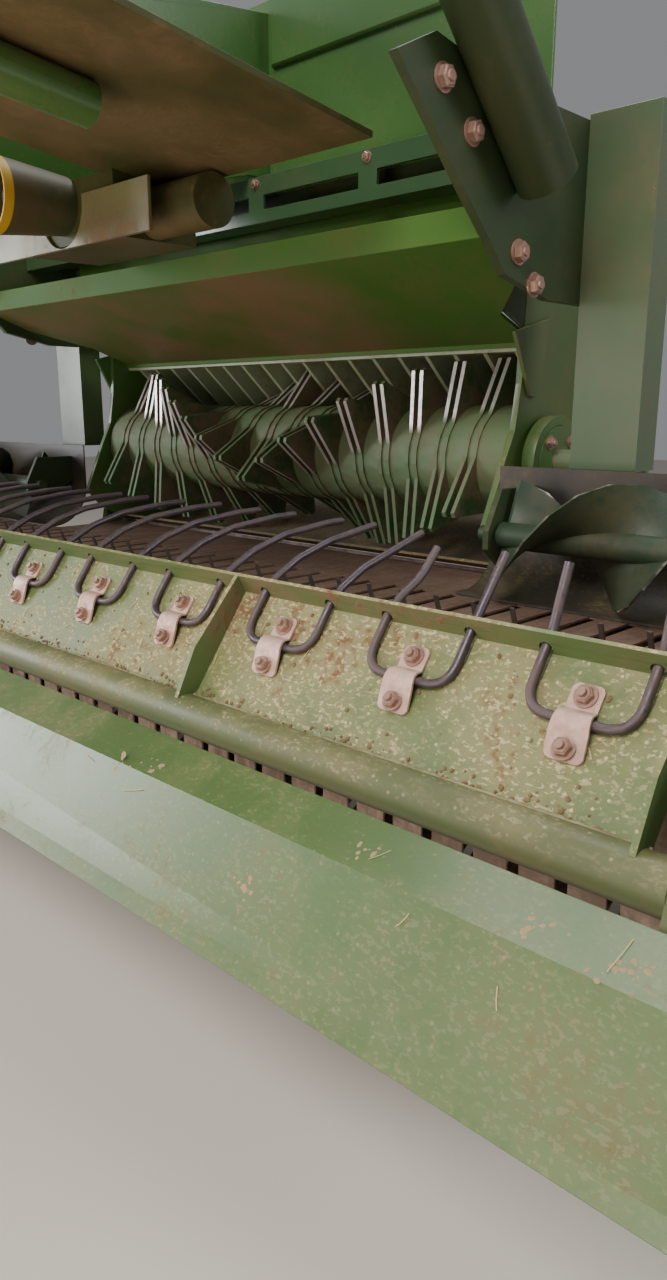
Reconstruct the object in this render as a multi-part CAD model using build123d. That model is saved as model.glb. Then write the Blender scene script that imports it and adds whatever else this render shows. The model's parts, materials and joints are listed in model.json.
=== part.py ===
from build123d import *
import math
import os

# Front intake section of a round baler: the pickup, the cross augers, the feed rotor
# and the front structure around them. Millimetres, X across the machine, +Y to the
# rear, +Z up. The origin is the middle of the bolted rear faces of the side plates.

# Fits
seat = 0.3
shaft_fit = 0.05

# Chamber sides and their bolted rear feet
chamber_width = 1200
side_t = 12
side_top = 400
side_low = -402
foot_t = 14
foot_reach = 74
bolt_r = 9
bolt_rise = 300
bolt_inset = 40

# Feed rotor
rotor_y = -258
rotor_z = -88
rotor_r = 177
root_r = 99
core_r = 96
core_wall = 8
shaft_r = 25
drive_r = 22
shaft_stub = 40
pair_pitch = 66
pair_room = 20
pair_count = int((chamber_width - 2 * pair_room) // pair_pitch)
pair_twist = 13.4
middle_tip_angle = 196.8
plate_gap = 19
plate_t = 8
tine_count = 3
bearing_r = 62
bearing_t = 34

# Floor under the rotor and the scrapers between its plates
rotor_clear = 15
floor_t = 5
plate_from = 213
plate_to = 266
floor_from = 244
floor_to = 300
floor_rear_z = -214
scraper_t = 9
scraper_back_t = 8
root_clear = 8
scraper_edge = (-171, 4)
scraper_top_t = 6

# Cross panel over the intake: its lip and its front flange
lip_clear = 14
lip_drop = 8
lip_y = -290
lip_z = rotor_z + rotor_r + lip_clear + lip_drop
panel_y = -597
panel_z = lip_z + 113
flange_rise = 42
panel_t = 6
closing_y = -400
closing_t = 4

# Posts, cross member and wall behind them
post_x = chamber_width / 2 + side_t + 108
post_w = 112
post_front = -352
post_d = 60
post_low = -92
post_top = 420
post_t = 8
member_front = -434
member_low = 340
member_top = 402
member_t = 6
wall_t = 6
wall_low = 384
wall_top = 700
raised_inner = 136
raised_low = 588
raised_t = 12
slot_beam_front = -490
slot_beam_low = 326
slot_beam_top = 404
slot_beam_t = 6
slot_pitch = 270
slot_l = 230
slot_room = 15
slot_count = int(2 * (post_x - slot_room) // slot_pitch)
slot_h = 24

# Stays: bolted brackets with their tubes
bracket_t = 14
stay_r = 42
stay_wall = 5
stay_low_y = -520
stay_low_z = 300
stay_rise = 380
stay_run = 380

# Tongue with its drive tunnel, the gearbox and the guards round its input shaft
tongue_front = -1390
tongue_half = 590
tongue_rear = -684
tongue_rear_z = 350
tongue_front_z = 442
tongue_t = 9
tunnel_half = 112
tunnel_rear = -780
cheek_t = 8
cheek_top = 560
tongue_pin_r = 16
tongue_pin_y = tongue_front + 40
tongue_pin_z = 505
tongue_tube_x = tongue_half - 190
tongue_tube_r = 27
tongue_tube_wall = 4
tongue_tube_rear = -993
gearbox_front = -800
gearbox_rear = -640
gearbox_half = 150
gearbox_low = 268
housing_r = 40
housing_end = 300
input_z = 330
input_r = 17.5
input_front = -900
bell_front = -935
bell_r0 = 46
bell_r1 = 60
bell_t = 3
notch_half = 250
notch_low = 262
notch_high = 340
notch_r = 66
notch_t = 6

# Pickup reel, its bands and its sides, placed from the rotor's axis
pickup_half = 1195
reel_y = rotor_y - 432
reel_z = rotor_z - 397
band_r = 200
band_t = 3
band_w = 44
band_pitch = 60
band_count = 2 * int((pickup_half - band_w) / band_pitch) + 1
reel_tine_r = 250
reel_tine_d = 6
bar_count = 5
bar_r = 130
bar_tube_r = 14
reel_core_r = 45
reel_core_wall = 5
reel_shaft_r = 18
reel_drive_r = 15
reel_stub = 20
spider_t = 8
pickup_side_t = 8
side_rim = 12
beam_y = rotor_y - 122
beam_z = rotor_z - 392
beam_s = 60
beam_wall = 5
band_rear = -518
pan_rear = -311
pan_half = chamber_width / 2 + side_t

# Cross augers and their troughs
auger_y = rotor_y - 252
auger_z = rotor_z - 96
auger_r = 88
auger_core_r = 20
auger_core_wall = 4
auger_gap = 76
auger_pitch = 420
auger_start_angle = 249
flight_t = 4
flight_count = 2
auger_shaft_r = 12
auger_stub = 22
trough_t = 3
trough_top = -88
trough_inner = chamber_width / 2 + side_t + 18
auger_arm_x = trough_inner + 60
auger_arm_t = 10

# Hinge arms of the pickup on the rotor's bearing housings
hinge_arm_x = chamber_width / 2 + side_t + 8
hinge_arm_t = 14
hinge_hub_l = 24
hub_wall = 16

# Crop guard: plate, tube, rods, clamps, arms and the front apron
guard_half = pickup_half + 5
guard_low = (-1021, -347)
guard_bend = (-933, -226)
guard_lip = (-946, -203.5)
guard_t = 5
rod_hole_r = 7.5
rib_t = 6
guard_tube_r = 25
guard_tube_wall = 4
guard_tube_y = -1035
guard_tube_z = -365
rod_r = 5
rod_gap = 112
clamp_w = 40
clamp_l = 76
clamp_t = 3
arm_x = pickup_half + 37
arm_t = 10
pivot_y = -650
pivot_z = -262
pivot_r = 15
pivot_eye = 30
apron_half = pickup_half + 185
apron_t = 5

# Gauge wheels and their arms
wheel_x = pickup_half + 135
wheel_y = -500
wheel_z = -540
wheel_r = 200
wheel_w = 130
rim_r = 105
rim_wall = 8
hub_r = 34
axle_r = 15
wheel_arm_t = 14

HALF = chamber_width / 2
OUTER = HALF + side_t
FLOOR_R = rotor_r + rotor_clear
WALL_REAR = member_front
WALL_FRONT = member_front - wall_t
INNER = post_x - bracket_t


def rel(y, z, radius, angle):
    """A point at a radius and an angle in degrees from +Y towards +Z round (y, z)."""
    a = math.radians(angle)
    return (y + radius * math.cos(a), z + radius * math.sin(a))


def face_yz(points):
    return make_face(Polyline(*points, close=True))


def on_x(sketch, x0, x1):
    """A sketch drawn as (Y, Z), made solid from x0 to x1."""
    plane = Plane(origin=(x0, 0, 0), x_dir=(0, 1, 0), z_dir=(1, 0, 0))
    return extrude(plane * sketch, amount=x1 - x0)


def slab(points, x0, x1):
    return on_x(face_yz(points), x0, x1)


def rod_x(y, z, radius, x0, x1):
    return on_x(Pos(y, z) * Circle(radius), x0, x1)


def tube_x(y, z, radius, wall, x0, x1):
    return on_x(Pos(y, z) * (Circle(radius) - Circle(radius - wall)), x0, x1)


def block(x0, x1, y0, y1, z0, z1):
    """A box given by its six faces."""
    size = Box(x1 - x0, y1 - y0, z1 - z0)
    return Pos((x0 + x1) / 2, (y0 + y1) / 2, (z0 + z1) / 2) * size


def folded(points, t):
    """The outline of a sheet of thickness t on the left of a folded line."""
    side = []
    last = len(points) - 1
    for i, (y, z) in enumerate(points):
        runs = []
        if i > 0:
            runs.append((y - points[i - 1][0], z - points[i - 1][1]))
        if i < last:
            runs.append((points[i + 1][0] - y, points[i + 1][1] - z))
        units = [(a / math.hypot(a, b), b / math.hypot(a, b)) for a, b in runs]
        ny = sum(-b for a, b in units) / len(units)
        nz = sum(a for a, b in units) / len(units)
        k = t / (ny * ny + nz * nz)
        side.append((y + ny * k, z + nz * k))
    return list(points) + side[::-1]


def sheet(points, t, x0, x1):
    return slab(folded(points, t), x0, x1)


def arc_band(y, z, r0, r1, a0, a1):
    """A curved strip between two radii, from angle a0 to a1, as a (Y, Z) sketch."""
    mid = (a0 + a1) / 2
    outer = ThreePointArc(rel(y, z, r1, a0), rel(y, z, r1, mid), rel(y, z, r1, a1))
    inner = ThreePointArc(rel(y, z, r0, a1), rel(y, z, r0, mid), rel(y, z, r0, a0))
    ends = Line(outer @ 1, inner @ 0) + Line(inner @ 1, outer @ 0)
    return make_face(outer + inner + ends)


def mirrored(part):
    return mirror(part, about=Plane.YZ)


def both(part):
    """A piece and its mirror image, as solids of one node."""
    solids = part.solids() + mirrored(part).solids()
    return Compound(children=list(solids))


# Side plates with their rear feet
def side_plate():
    r = FLOOR_R + floor_t
    low = rel(rotor_y, rotor_z, r, plate_from)
    under = rel(rotor_y, rotor_z, r, plate_to)
    # columns: Y, Z of the front edge, measured from the rotor's axis
    front = [(-94, 418), (-70, 256), (-76, 130), (-89, 55), (-115, 4)]
    edge = [(rotor_y + y, rotor_z + z) for y, z in front]
    line = Polyline(under, (0, side_low), (0, side_top), (post_front, side_top), *edge, low)
    arc = ThreePointArc(low, rel(rotor_y, rotor_z, r, (plate_from + plate_to) / 2), under)
    plate = on_x(make_face(line + arc), HALF, OUTER)
    plate += block(HALF, OUTER + foot_reach, -foot_t, 0, -bolt_rise - 55, bolt_rise + 55)
    plate -= rod_x(rotor_y, rotor_z, shaft_r + 6, HALF - 1, OUTER + 1)
    for z in (-bolt_rise, bolt_rise):
        hole = Pos(OUTER + bolt_inset, 0, z) * Rot(90, 0, 0) * Cylinder(bolt_r, 3 * foot_t)
        plate -= hole
    return plate


# Feed rotor: a core with pairs of three-tine plates set in a V
def star_plate():
    step = 360 / tine_count
    # columns: radius, angle in degrees from the tine's tip
    outline = [(rotor_r, -1.5), (rotor_r, 1.5), (root_r, 35), (root_r, 52), (root_r, 68), (root_r, 85)]
    points = []
    for k in range(tine_count):
        points += [rel(0, 0, radius, a + k * step) for radius, a in outline]
    return face_yz(points)


def rotor():
    core_half = HALF - 6
    journal = OUTER + bearing_t + 1
    stub = journal + shaft_stub
    body = tube_x(rotor_y, rotor_z, core_r, core_wall, -core_half, core_half)
    for s in (-1, 1):
        x0 = s * (core_half - 30)
        x1 = s * core_half
        body += rod_x(rotor_y, rotor_z, core_r - 1, min(x0, x1), max(x0, x1))
    body += rod_x(rotor_y, rotor_z, shaft_r, -journal, journal)
    body += rod_x(rotor_y, rotor_z, drive_r, -stub, stub)
    star = star_plate() - Circle(core_r - 2)
    middle = (pair_count - 1) / 2
    for i in range(pair_count):
        x = (i - middle) * pair_pitch
        angle = middle_tip_angle - pair_twist * abs(i - middle)
        placed = Pos(rotor_y, rotor_z) * Rot(0, 0, angle) * star
        for s in (-0.5, 0.5):
            x0 = x + s * plate_gap - plate_t / 2
            body += on_x(placed, x0, x0 + plate_t)
    return body


def bearing():
    ring = rod_x(rotor_y, rotor_z, bearing_r, OUTER, OUTER + bearing_t)
    return ring - rod_x(rotor_y, rotor_z, shaft_r + shaft_fit, HALF, OUTER + bearing_t + 1)


def feed_floor():
    y, z = rotor_y, rotor_z
    r0, r1 = FLOOR_R, FLOOR_R + floor_t
    mid = (floor_from + floor_to) / 2
    top = ThreePointArc(rel(y, z, r0, floor_from), rel(y, z, r0, mid), rel(y, z, r0, floor_to))
    low = ThreePointArc(rel(y, z, r1, floor_to), rel(y, z, r1, mid), rel(y, z, r1, floor_from))
    rear = -20
    outline = top + Polyline(top @ 1, (rear, floor_rear_z), (rear, floor_rear_z - floor_t), low @ 0)
    outline += low + Line(low @ 1, top @ 0)
    return on_x(make_face(outline), -HALF, HALF)


def scrapers():
    y, z = rotor_y, rotor_z
    r = root_r + root_clear
    back = y + rotor_r + 13
    near = rel(y, z, r, 32)
    low = rel(y, z, r, 8)
    top_z = lip_z - lip_drop
    front = lip_y + panel_t + seat
    arc = ThreePointArc(near, rel(y, z, r, 20), low)
    line = Polyline(low, (back + 1, z + 15), (back + 1, top_z), (front, top_z), scraper_edge, near)
    blade = make_face(arc + line)
    width = HALF - seat
    comb = block(-width, width, back, back + scraper_back_t, z + 20, top_z)
    comb += block(-width, width, front, back + 1, top_z - scraper_top_t, top_z)
    for i in range(pair_count + 1):
        x = (i - pair_count / 2) * pair_pitch
        comb += on_x(blade, x - scraper_t / 2, x + scraper_t / 2)
    return comb


def cross_panel():
    line = [(lip_y, lip_z - lip_drop), (lip_y, lip_z), (panel_y, panel_z), (panel_y, panel_z + flange_rise)]
    panel = sheet(line, -panel_t, -INNER, INNER)
    slope = (panel_z - lip_z) / (lip_y - panel_y)
    closing_low = lip_z + slope * (lip_y - closing_y)
    width = INNER - seat
    panel += block(-width, width, closing_y, closing_y + closing_t, closing_low, member_low - seat)
    narrow = HALF - seat
    corner = [(narrow, -200), (narrow, -385), (INNER, -495), (INNER + 9, -495)]
    outline = Polyline(*corner, (INNER + 9, -200), close=True)
    trim = extrude(make_face(outline), amount=panel_z + 200)
    return panel - trim - mirrored(trim)


def slotted_beam():
    front, rear = slot_beam_front, WALL_FRONT
    low, top, t = slot_beam_low, slot_beam_top, slot_beam_t
    beam = block(-INNER, INNER, front, rear, low, top) - block(-INNER, INNER, front + t, rear + 1, low + t, top - t)
    for i in range(slot_count):
        x = (i - (slot_count - 1) / 2) * slot_pitch
        beam -= block(x - slot_l / 2, x + slot_l / 2, front - 1, front + t + 1, low + 22, low + 22 + slot_h)
    return beam


def front_wall():
    wall = block(-INNER, INNER, WALL_FRONT, WALL_REAR, wall_low, wall_top)
    raised = block(raised_inner, INNER, WALL_FRONT - raised_t, WALL_FRONT, raised_low, wall_top)
    raised = chamfer(raised.faces().sort_by(Axis.Y)[0].edges(), 4)
    return wall + raised + mirrored(raised)


def cross_member():
    member = block(-INNER, INNER, member_front, post_front, member_low, member_top)
    hollow = block(
        -INNER,
        INNER,
        member_front + member_t,
        post_front - member_t,
        member_low + member_t,
        member_top - member_t,
    )
    return member - hollow


def post():
    rear = post_front + post_d
    body = block(post_x, post_x + post_w, post_front, rear, post_low, post_top)
    return body - block(post_x + post_t, post_x + post_w - post_t, post_front + post_t, rear + 1, post_low - 1, post_top + 1)


def gusset():
    # columns: Y, Z measured from the rotor's axis
    outline = [(-112, 210), (-4, 238), (-42, 108), (-58, 110)]
    points = [(rotor_y + y, rotor_z + z) for y, z in outline]
    return slab(points, OUTER, OUTER + 8)


# Stay: a plate bolted inside the post, with a tube welded on its outer face
def stay():
    outline = [
        (post_front + post_d, 412),
        (-560, 412),
        (-717, 436),
        (-789, 400),
        (-658, 277),
        (-593, 220),
        (-554, 180),
        (-441, 156),
        (post_front + post_d, 156),
    ]
    plate = slab(outline, INNER, post_x)
    x = post_x + stay_r - 4
    start = Vector(x, stay_low_y, stay_low_z)
    end = Vector(x, stay_low_y - stay_run, stay_low_z + stay_rise)
    along = (end - start).normalized()
    plane = Plane(origin=start, z_dir=along, x_dir=(1, 0, 0))
    ring = Circle(stay_r) - Circle(stay_r - stay_wall)
    tube = extrude(plane * ring, amount=(end - start).length)
    tube += extrude(plane * Circle(stay_r - 1), amount=stay_wall)
    cap = Plane(origin=end, z_dir=along, x_dir=(1, 0, 0))
    tube += extrude(cap * Circle(stay_r + 14), amount=-12)
    return plate + tube


def tongue_z(y):
    """Height of the tongue floor's underside at a place along the machine."""
    share = (y - tongue_rear) / (tongue_front - tongue_rear)
    return tongue_rear_z + share * (tongue_front_z - tongue_rear_z)


def tongue_floor():
    line = [(tongue_rear, tongue_rear_z), (tongue_front, tongue_front_z)]
    plate = sheet(line, -tongue_t, -tongue_half, tongue_half)
    half = tunnel_half
    return plate - block(-half, half, tongue_front - 1, tunnel_rear, tongue_rear_z - 50, tongue_front_z + 50)


def tongue_cheek():
    front = tongue_front + 4
    lift = tongue_t + 2 * seat
    points = [
        (tongue_rear, tongue_z(tongue_rear) + lift),
        (front, tongue_z(front) + lift),
        (front, cheek_top),
        (WALL_FRONT, wall_top - 20),
        (WALL_FRONT, slot_beam_top + 6),
        (slot_beam_front, slot_beam_top + 6),
    ]
    cheek = slab(points, tunnel_half, tunnel_half + cheek_t)
    return cheek - rod_x(tongue_pin_y, tongue_pin_z, tongue_pin_r, tunnel_half - 1, tunnel_half + cheek_t + 1)


def tongue_tube():
    drop = tongue_tube_r + seat
    start = Vector(tongue_tube_x, tongue_tube_rear, tongue_z(tongue_tube_rear) - drop)
    end = Vector(tongue_tube_x, tongue_front, tongue_z(tongue_front) - drop)
    plane = Plane(origin=start, z_dir=(end - start).normalized(), x_dir=(1, 0, 0))
    ring = Circle(tongue_tube_r) - Circle(tongue_tube_r - tongue_tube_wall)
    return extrude(plane * ring, amount=(end - start).length)


def gearbox():
    outline = [
        (gearbox_rear, gearbox_low),
        (gearbox_front, gearbox_low),
        (gearbox_front, tongue_z(gearbox_front) - seat),
        (tongue_rear, tongue_rear_z - seat),
        (gearbox_rear, tongue_rear_z - seat),
    ]
    body = slab(outline, -gearbox_half, gearbox_half)
    middle = (gearbox_front + gearbox_rear) / 2
    return body + rod_x(middle, gearbox_low + housing_r + 2, housing_r, gearbox_half - 1, housing_end)


def ring_y(radius0, radius1, wall, y0, y1, z):
    """A round shell about a line along Y at height z, from radius0 to radius1."""
    rows = [(radius0 - wall, y0), (radius0, y0), (radius1, y1), (radius1 - wall, y1)]
    outline = Polyline(*rows, close=True)
    return Pos(0, 0, z) * revolve(make_face(outline), Axis.Y)


def input_shaft():
    plane = Plane(origin=(0, gearbox_front, input_z), z_dir=(0, -1, 0))
    return extrude(plane * Circle(input_r), amount=gearbox_front - input_front)


def bell_guard():
    return ring_y(bell_r1, bell_r0, bell_t, bell_front, gearbox_front, input_z)


def notch_plate():
    y0 = gearbox_front - notch_t
    plate = block(-notch_half, notch_half, y0, gearbox_front, notch_low, notch_high)
    hole = Pos(0, y0, input_z) * Rot(90, 0, 0) * Cylinder(notch_r, 4 * notch_t)
    return plate - hole - block(-notch_r, notch_r, y0 - 1, gearbox_front + 1, input_z, notch_high + 1)


# Pickup frame: bands on a beam, sides, troughs and arms
def stripper_bands():
    top_z = reel_z + band_r
    rear = band_rear
    last = (beam_y - beam_s / 2 + 2, beam_z - beam_s / 2 + 4)
    outer = Line((rear, top_z), (reel_y, top_z)) + JernArc((reel_y, top_z), (-1, 0), band_r, 180)
    outer += Line((reel_y, reel_z - band_r), last)
    r = band_r - band_t
    inner = Line((rear, reel_z + r), (reel_y, reel_z + r)) + JernArc((reel_y, reel_z + r), (-1, 0), r, 180)
    inner += Line((reel_y, reel_z - r), (last[0], last[1] + band_t))
    caps = Line((rear, top_z), (rear, reel_z + r)) + Line(last, (last[0], last[1] + band_t))
    band = make_face(outer + inner + caps)
    foot = (beam_y - beam_s / 2 + 8, beam_z + beam_s / 2 - 2)
    body = sheet([(rear - 1, top_z), (rear + 12, top_z), foot], -band_t, -pickup_half, pickup_half)
    pan = sheet([(rear - 1, top_z), (pan_rear, top_z), (foot[0] + 20, foot[1])], -band_t, -pan_half, pan_half)
    body += pan
    tube = Pos(beam_y, beam_z) * (Rectangle(beam_s, beam_s) - Rectangle(beam_s - 2 * beam_wall, beam_s - 2 * beam_wall))
    body += on_x(tube, -pickup_half, pickup_half)
    for i in range(band_count):
        x = (i - (band_count - 1) / 2) * band_pitch
        body += on_x(band, x - band_w / 2, x + band_w / 2)
    return body


def pickup_side():
    x0, x1 = pickup_half, pickup_half + pickup_side_t
    r = band_r + side_rim
    top, front, under = [rel(reel_y, reel_z, r, a) for a in (100, 180, 260)]
    rear = beam_y + beam_s / 2 + 10
    line = Polyline(
        under,
        (rear, beam_z - beam_s),
        (rear, beam_z + beam_s),
        (auger_y + 140, auger_z + 40),
        (auger_y + 130, auger_z + 100),
        (auger_y - 130, auger_z + 100),
        top,
    )
    plate = on_x(make_face(ThreePointArc(top, front, under) + line), x0, x1)
    plate -= rod_x(reel_y, reel_z, reel_shaft_r + shaft_fit, x0 - 1, x1 + 1)
    plate -= rod_x(auger_y, auger_z, auger_shaft_r + shaft_fit, x0 - 1, x1 + 1)
    plate += rod_x(pivot_y, pivot_z, pivot_r, x1, arm_x + arm_t + 8)
    arm = [
        (wheel_y + 60, beam_z + 40),
        (wheel_y - 70, beam_z + 50),
        (wheel_y - 28, wheel_z - 28),
        (wheel_y + 28, wheel_z - 28),
    ]
    plate += slab(arm, x1, x1 + wheel_arm_t)
    return plate + rod_x(wheel_y, wheel_z, axle_r, x1, wheel_x + wheel_w / 2)


def trough():
    r1 = auger_z - (reel_z + band_r) - seat
    strip = on_x(arc_band(auger_y, auger_z, r1 - trough_t, r1, -96, 0), trough_inner, pickup_half)
    return strip + block(trough_inner, pickup_half, auger_y + r1 - trough_t, auger_y + r1, auger_z, trough_top)


def auger_arm():
    face = auger_y + auger_z - (reel_z + band_r) - 2 * seat - trough_t
    # columns: Y, Z measured from the auger's axis
    outline = [(2, 68), (-30, 8), (-30, -20), (10, -52), (24, -30)]
    points = [(auger_y + y, auger_z + z) for y, z in outline]
    points += [(face, auger_z + 5), (face, auger_z + 68)]
    arm = slab(points, auger_arm_x, auger_arm_x + auger_arm_t)
    hole = rod_x(auger_y, auger_z, auger_shaft_r + shaft_fit, auger_arm_x - 1, auger_arm_x + auger_arm_t + 1)
    return arm - hole


def hinge_arm():
    x0 = hinge_arm_x
    r = bearing_r + seat
    hub = rod_x(rotor_y, rotor_z, r + hub_wall, x0, x0 + hinge_hub_l)
    base = beam_z + beam_s / 2
    reach = r + hub_wall - 4
    points = [
        (rotor_y - reach, rotor_z - 20),
        (rotor_y + reach, rotor_z - 20),
        (beam_y + beam_s / 2, base),
        (beam_y - beam_s / 2 + 9, base),
    ]
    body = hub + slab(points, x0, x0 + hinge_arm_t)
    return body - rod_x(rotor_y, rotor_z, r, x0 - 1, x0 + hinge_hub_l + 1)


# Reel: core, spiders and tine bars
def reel():
    y, z = reel_y, reel_z
    journal = pickup_half + pickup_side_t + 1
    stub = journal + reel_stub
    core = pickup_half - 40
    body = tube_x(y, z, reel_core_r, reel_core_wall, -core, core)
    for s in (-1, 1):
        x0, x1 = sorted((s * (core - 20), s * journal))
        body += rod_x(y, z, reel_shaft_r, x0, x1)
        x0, x1 = sorted((s * (journal - 10), s * stub))
        body += rod_x(y, z, reel_drive_r, x0, x1)
    spider = Circle(bar_r + 6) - Circle(reel_core_r - 1)
    for x in (-core + 4, -core / 3, core / 3, core - 4):
        body += on_x(Pos(y, z) * spider, x - spider_t / 2, x + spider_t / 2)
        body += rod_x(y, z, reel_core_r - 1, x - spider_t / 2, x + spider_t / 2)
    for k in range(bar_count):
        by, bz = rel(y, z, bar_r, 90 + k * 360 / bar_count)
        body += rod_x(by, bz, bar_tube_r, -core, core)
    return body


def reel_tines():
    half = reel_tine_d / 2
    tines = []
    for k in range(bar_count):
        a = 90 + k * 360 / bar_count
        root = rel(reel_y, reel_z, bar_r + bar_tube_r + 4 * seat, a)
        tip = rel(reel_y, reel_z, reel_tine_r - 1, a + 9)
        run = Vector(tip[0] - root[0], tip[1] - root[1]).normalized()
        n = Vector(-run.Y, run.X) * half
        quad = [
            (root[0] + n.X, root[1] + n.Y),
            (root[0] - n.X, root[1] - n.Y),
            (tip[0] - n.X / 2, tip[1] - n.Y / 2),
            (tip[0] + n.X / 2, tip[1] + n.Y / 2),
        ]
        for i in range(band_count - 1):
            x = (i - (band_count - 2) / 2) * band_pitch
            tines.append(slab(quad, x - half, x + half).solid())
    return Compound(children=tines)


# Cross auger: a core tube on stub shafts with two ruled flights
def auger():
    y, z = auger_y, auger_z
    start = trough_inner + auger_gap
    end = pickup_half - 14
    body = tube_x(y, z, auger_core_r, auger_core_wall, start, end)
    body += rod_x(y, z, auger_core_r - 1, end - 10, end)
    body += rod_x(y, z, auger_core_r - 1, start, start + 10)
    body += rod_x(y, z, auger_shaft_r, auger_arm_x - auger_stub, start + 5)
    body += rod_x(y, z, auger_shaft_r, end - 10, pickup_half + pickup_side_t + 20)
    steps = 16
    run = end - start - 12
    corners = [(auger_core_r - 2, 0), (auger_r, 0), (auger_r, flight_t), (auger_core_r - 2, flight_t)]
    for k in range(flight_count):
        sections = []
        for i in range(steps + 1):
            a = auger_start_angle + k * 360 / flight_count - 360 * run / auger_pitch * i / steps
            x = start + 3 + run * i / steps
            points = [(x + dx, *rel(y, z, r, a)) for r, dx in corners]
            sections.append(Wire.make_polygon(points, close=True))
        body += Solid.make_loft(sections, ruled=True)
    return body


# Crop guard
def guard_plate():
    line = [guard_low, guard_bend, guard_lip]
    plate = sheet(line, -guard_t, -guard_half, guard_half)
    start = on_guard(bow_s + 32, bow_out)
    run = Vector(0, guard_bend[0] - guard_low[0], guard_bend[1] - guard_low[1])
    for x, *ends in rod_units:
        for side in (x - rod_gap / 2, x + rod_gap / 2):
            for s in (-1, 1):
                plane = Plane(origin=(s * side, *start), z_dir=run, x_dir=(1, 0, 0))
                plate -= extrude(plane * Circle(rod_hole_r), amount=60)
    rib = [guard_low, guard_bend, guard_lip, (-1018, -284), (-1051, -351)]
    for x in (-guard_half + rib_t / 2, -HALF, HALF, guard_half - rib_t / 2):
        plate += slab(rib, x - rib_t / 2, x + rib_t / 2)
    return plate - rod_x(guard_tube_y, guard_tube_z, guard_tube_r + seat, -arm_x, arm_x)


def guard_tube():
    return tube_x(guard_tube_y, guard_tube_z, guard_tube_r, guard_tube_wall, -arm_x, arm_x)


def on_guard(s, out):
    """A point on the guard plate: s up from its lower edge, out from its face."""
    dy, dz = guard_bend[0] - guard_low[0], guard_bend[1] - guard_low[1]
    n = math.hypot(dy, dz)
    dy, dz = dy / n, dz / n
    return (guard_low[0] + s * dy - out * dz, guard_low[1] + s * dz + out * dy)


# columns: rearmost Y of the inner and outer leg, tip rise of each, from the middle unit outwards
reaches = [
    (-690, -690, 0, 0),
    (-680, -690, 0, 0),
    (-695, -705, 0, 0),
    (-733, -769, 4, 10),
    (-849, -878, 22, 39),
    (-902, -908, 54, 62),
]
rod_units = [((i + 0.5) * guard_half / len(reaches), *ends) for i, ends in enumerate(reaches)]
bow_s = 89
bow_out = rod_r + seat


def leg(reach, rise):
    """The (Y, Z) line of one rod leg, from the bow over the flange to its tip."""
    crest = (guard_bend[0] + 6, guard_bend[1] + rod_r + 12)
    line = [on_guard(bow_s + 32, bow_out), crest, (-878, -184), (-821, -168), (-735, -159), (-626, -156)]
    cut = [p for p in line if p[0] < reach - 12]
    after = line[len(cut)] if len(cut) < len(line) else line[-1]
    y0, z0 = cut[-1]
    share = (reach - y0) / (after[0] - y0)
    return cut + [(reach, z0 + share * (after[1] - z0) + rise)]


def guard_rod(x, inner, outer, inner_rise, outer_rise):
    half = rod_gap / 2
    first = [(x - half, y, z) for y, z in leg(inner, inner_rise)][::-1]
    second = [(x + half, y, z) for y, z in leg(outer, outer_rise)]
    bow = [(x - half, *on_guard(bow_s, bow_out)), (x + half, *on_guard(bow_s, bow_out))]
    points = first + bow + second
    bends = [60] * (len(first) - 1) + [28, 28] + [60] * (len(second) - 1)
    path = FilletPolyline(*points, radius=bends[: len(points) - 2])
    start = Plane(origin=path @ 0, z_dir=path % 0)
    return sweep(start * RegularPolygon(rod_r, 8), path=path)


def guard_rods():
    rods = []
    for unit in rod_units:
        rod = guard_rod(*unit)
        rods += rod.solids() + mirrored(rod).solids()
    return Compound(children=rods)


def rod_clamps():
    rise = 2 * rod_r + 2 * seat
    # columns: place along the clamp from its middle, height over the plate
    hat = [(-clamp_l / 2, seat), (-7, rise), (6, rise), (11, seat), (clamp_l / 2, seat)]
    points = [on_guard(bow_s + s, out) for s, out in hat]
    clamps = []
    for x, *ends in rod_units:
        clamp = sheet(points, clamp_t, x - clamp_w / 2, x + clamp_w / 2)
        clamps += clamp.solids() + mirrored(clamp).solids()
    return Compound(children=clamps)


def apron_line():
    return [(-1070, -382), (-1130, -404), (-1190, -505), (-1205, -518), (-1193, -524)]


def guard_arm():
    eye = pivot_eye
    points = [
        (pivot_y, pivot_z - eye),
        (pivot_y, pivot_z + eye),
        (-895, -203),
        (-938, -208),
        (-1050, -335),
        (-1066, -386),
        (-1125, -409),
        (-1167, -480),
        (-1120, -470),
        (-1010, -400),
    ]
    arm = slab(points, arm_x, arm_x + arm_t) + rod_x(pivot_y, pivot_z, eye, arm_x, arm_x + arm_t)
    arm -= rod_x(pivot_y, pivot_z, pivot_r + seat, arm_x - 1, arm_x + arm_t + 1)
    return arm - sheet(apron_line(), apron_t + seat, arm_x - 1, arm_x + arm_t + 1)


def apron():
    return sheet(apron_line(), apron_t, -apron_half, apron_half)


# Gauge wheel
def tyre():
    # columns: share of the half width, radius
    half = [(0.84, rim_r + seat), (1, rim_r + 24), (1, wheel_r - 38), (0.88, wheel_r - 11), (0.6, wheel_r)]
    profile = [(-share * wheel_w / 2, r) for share, r in half]
    profile += [(share * wheel_w / 2, r) for share, r in half[::-1]]
    section = make_face(Polyline(*profile, close=True))
    return Pos(wheel_x, wheel_y, wheel_z) * revolve(section, Axis.X)


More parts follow.
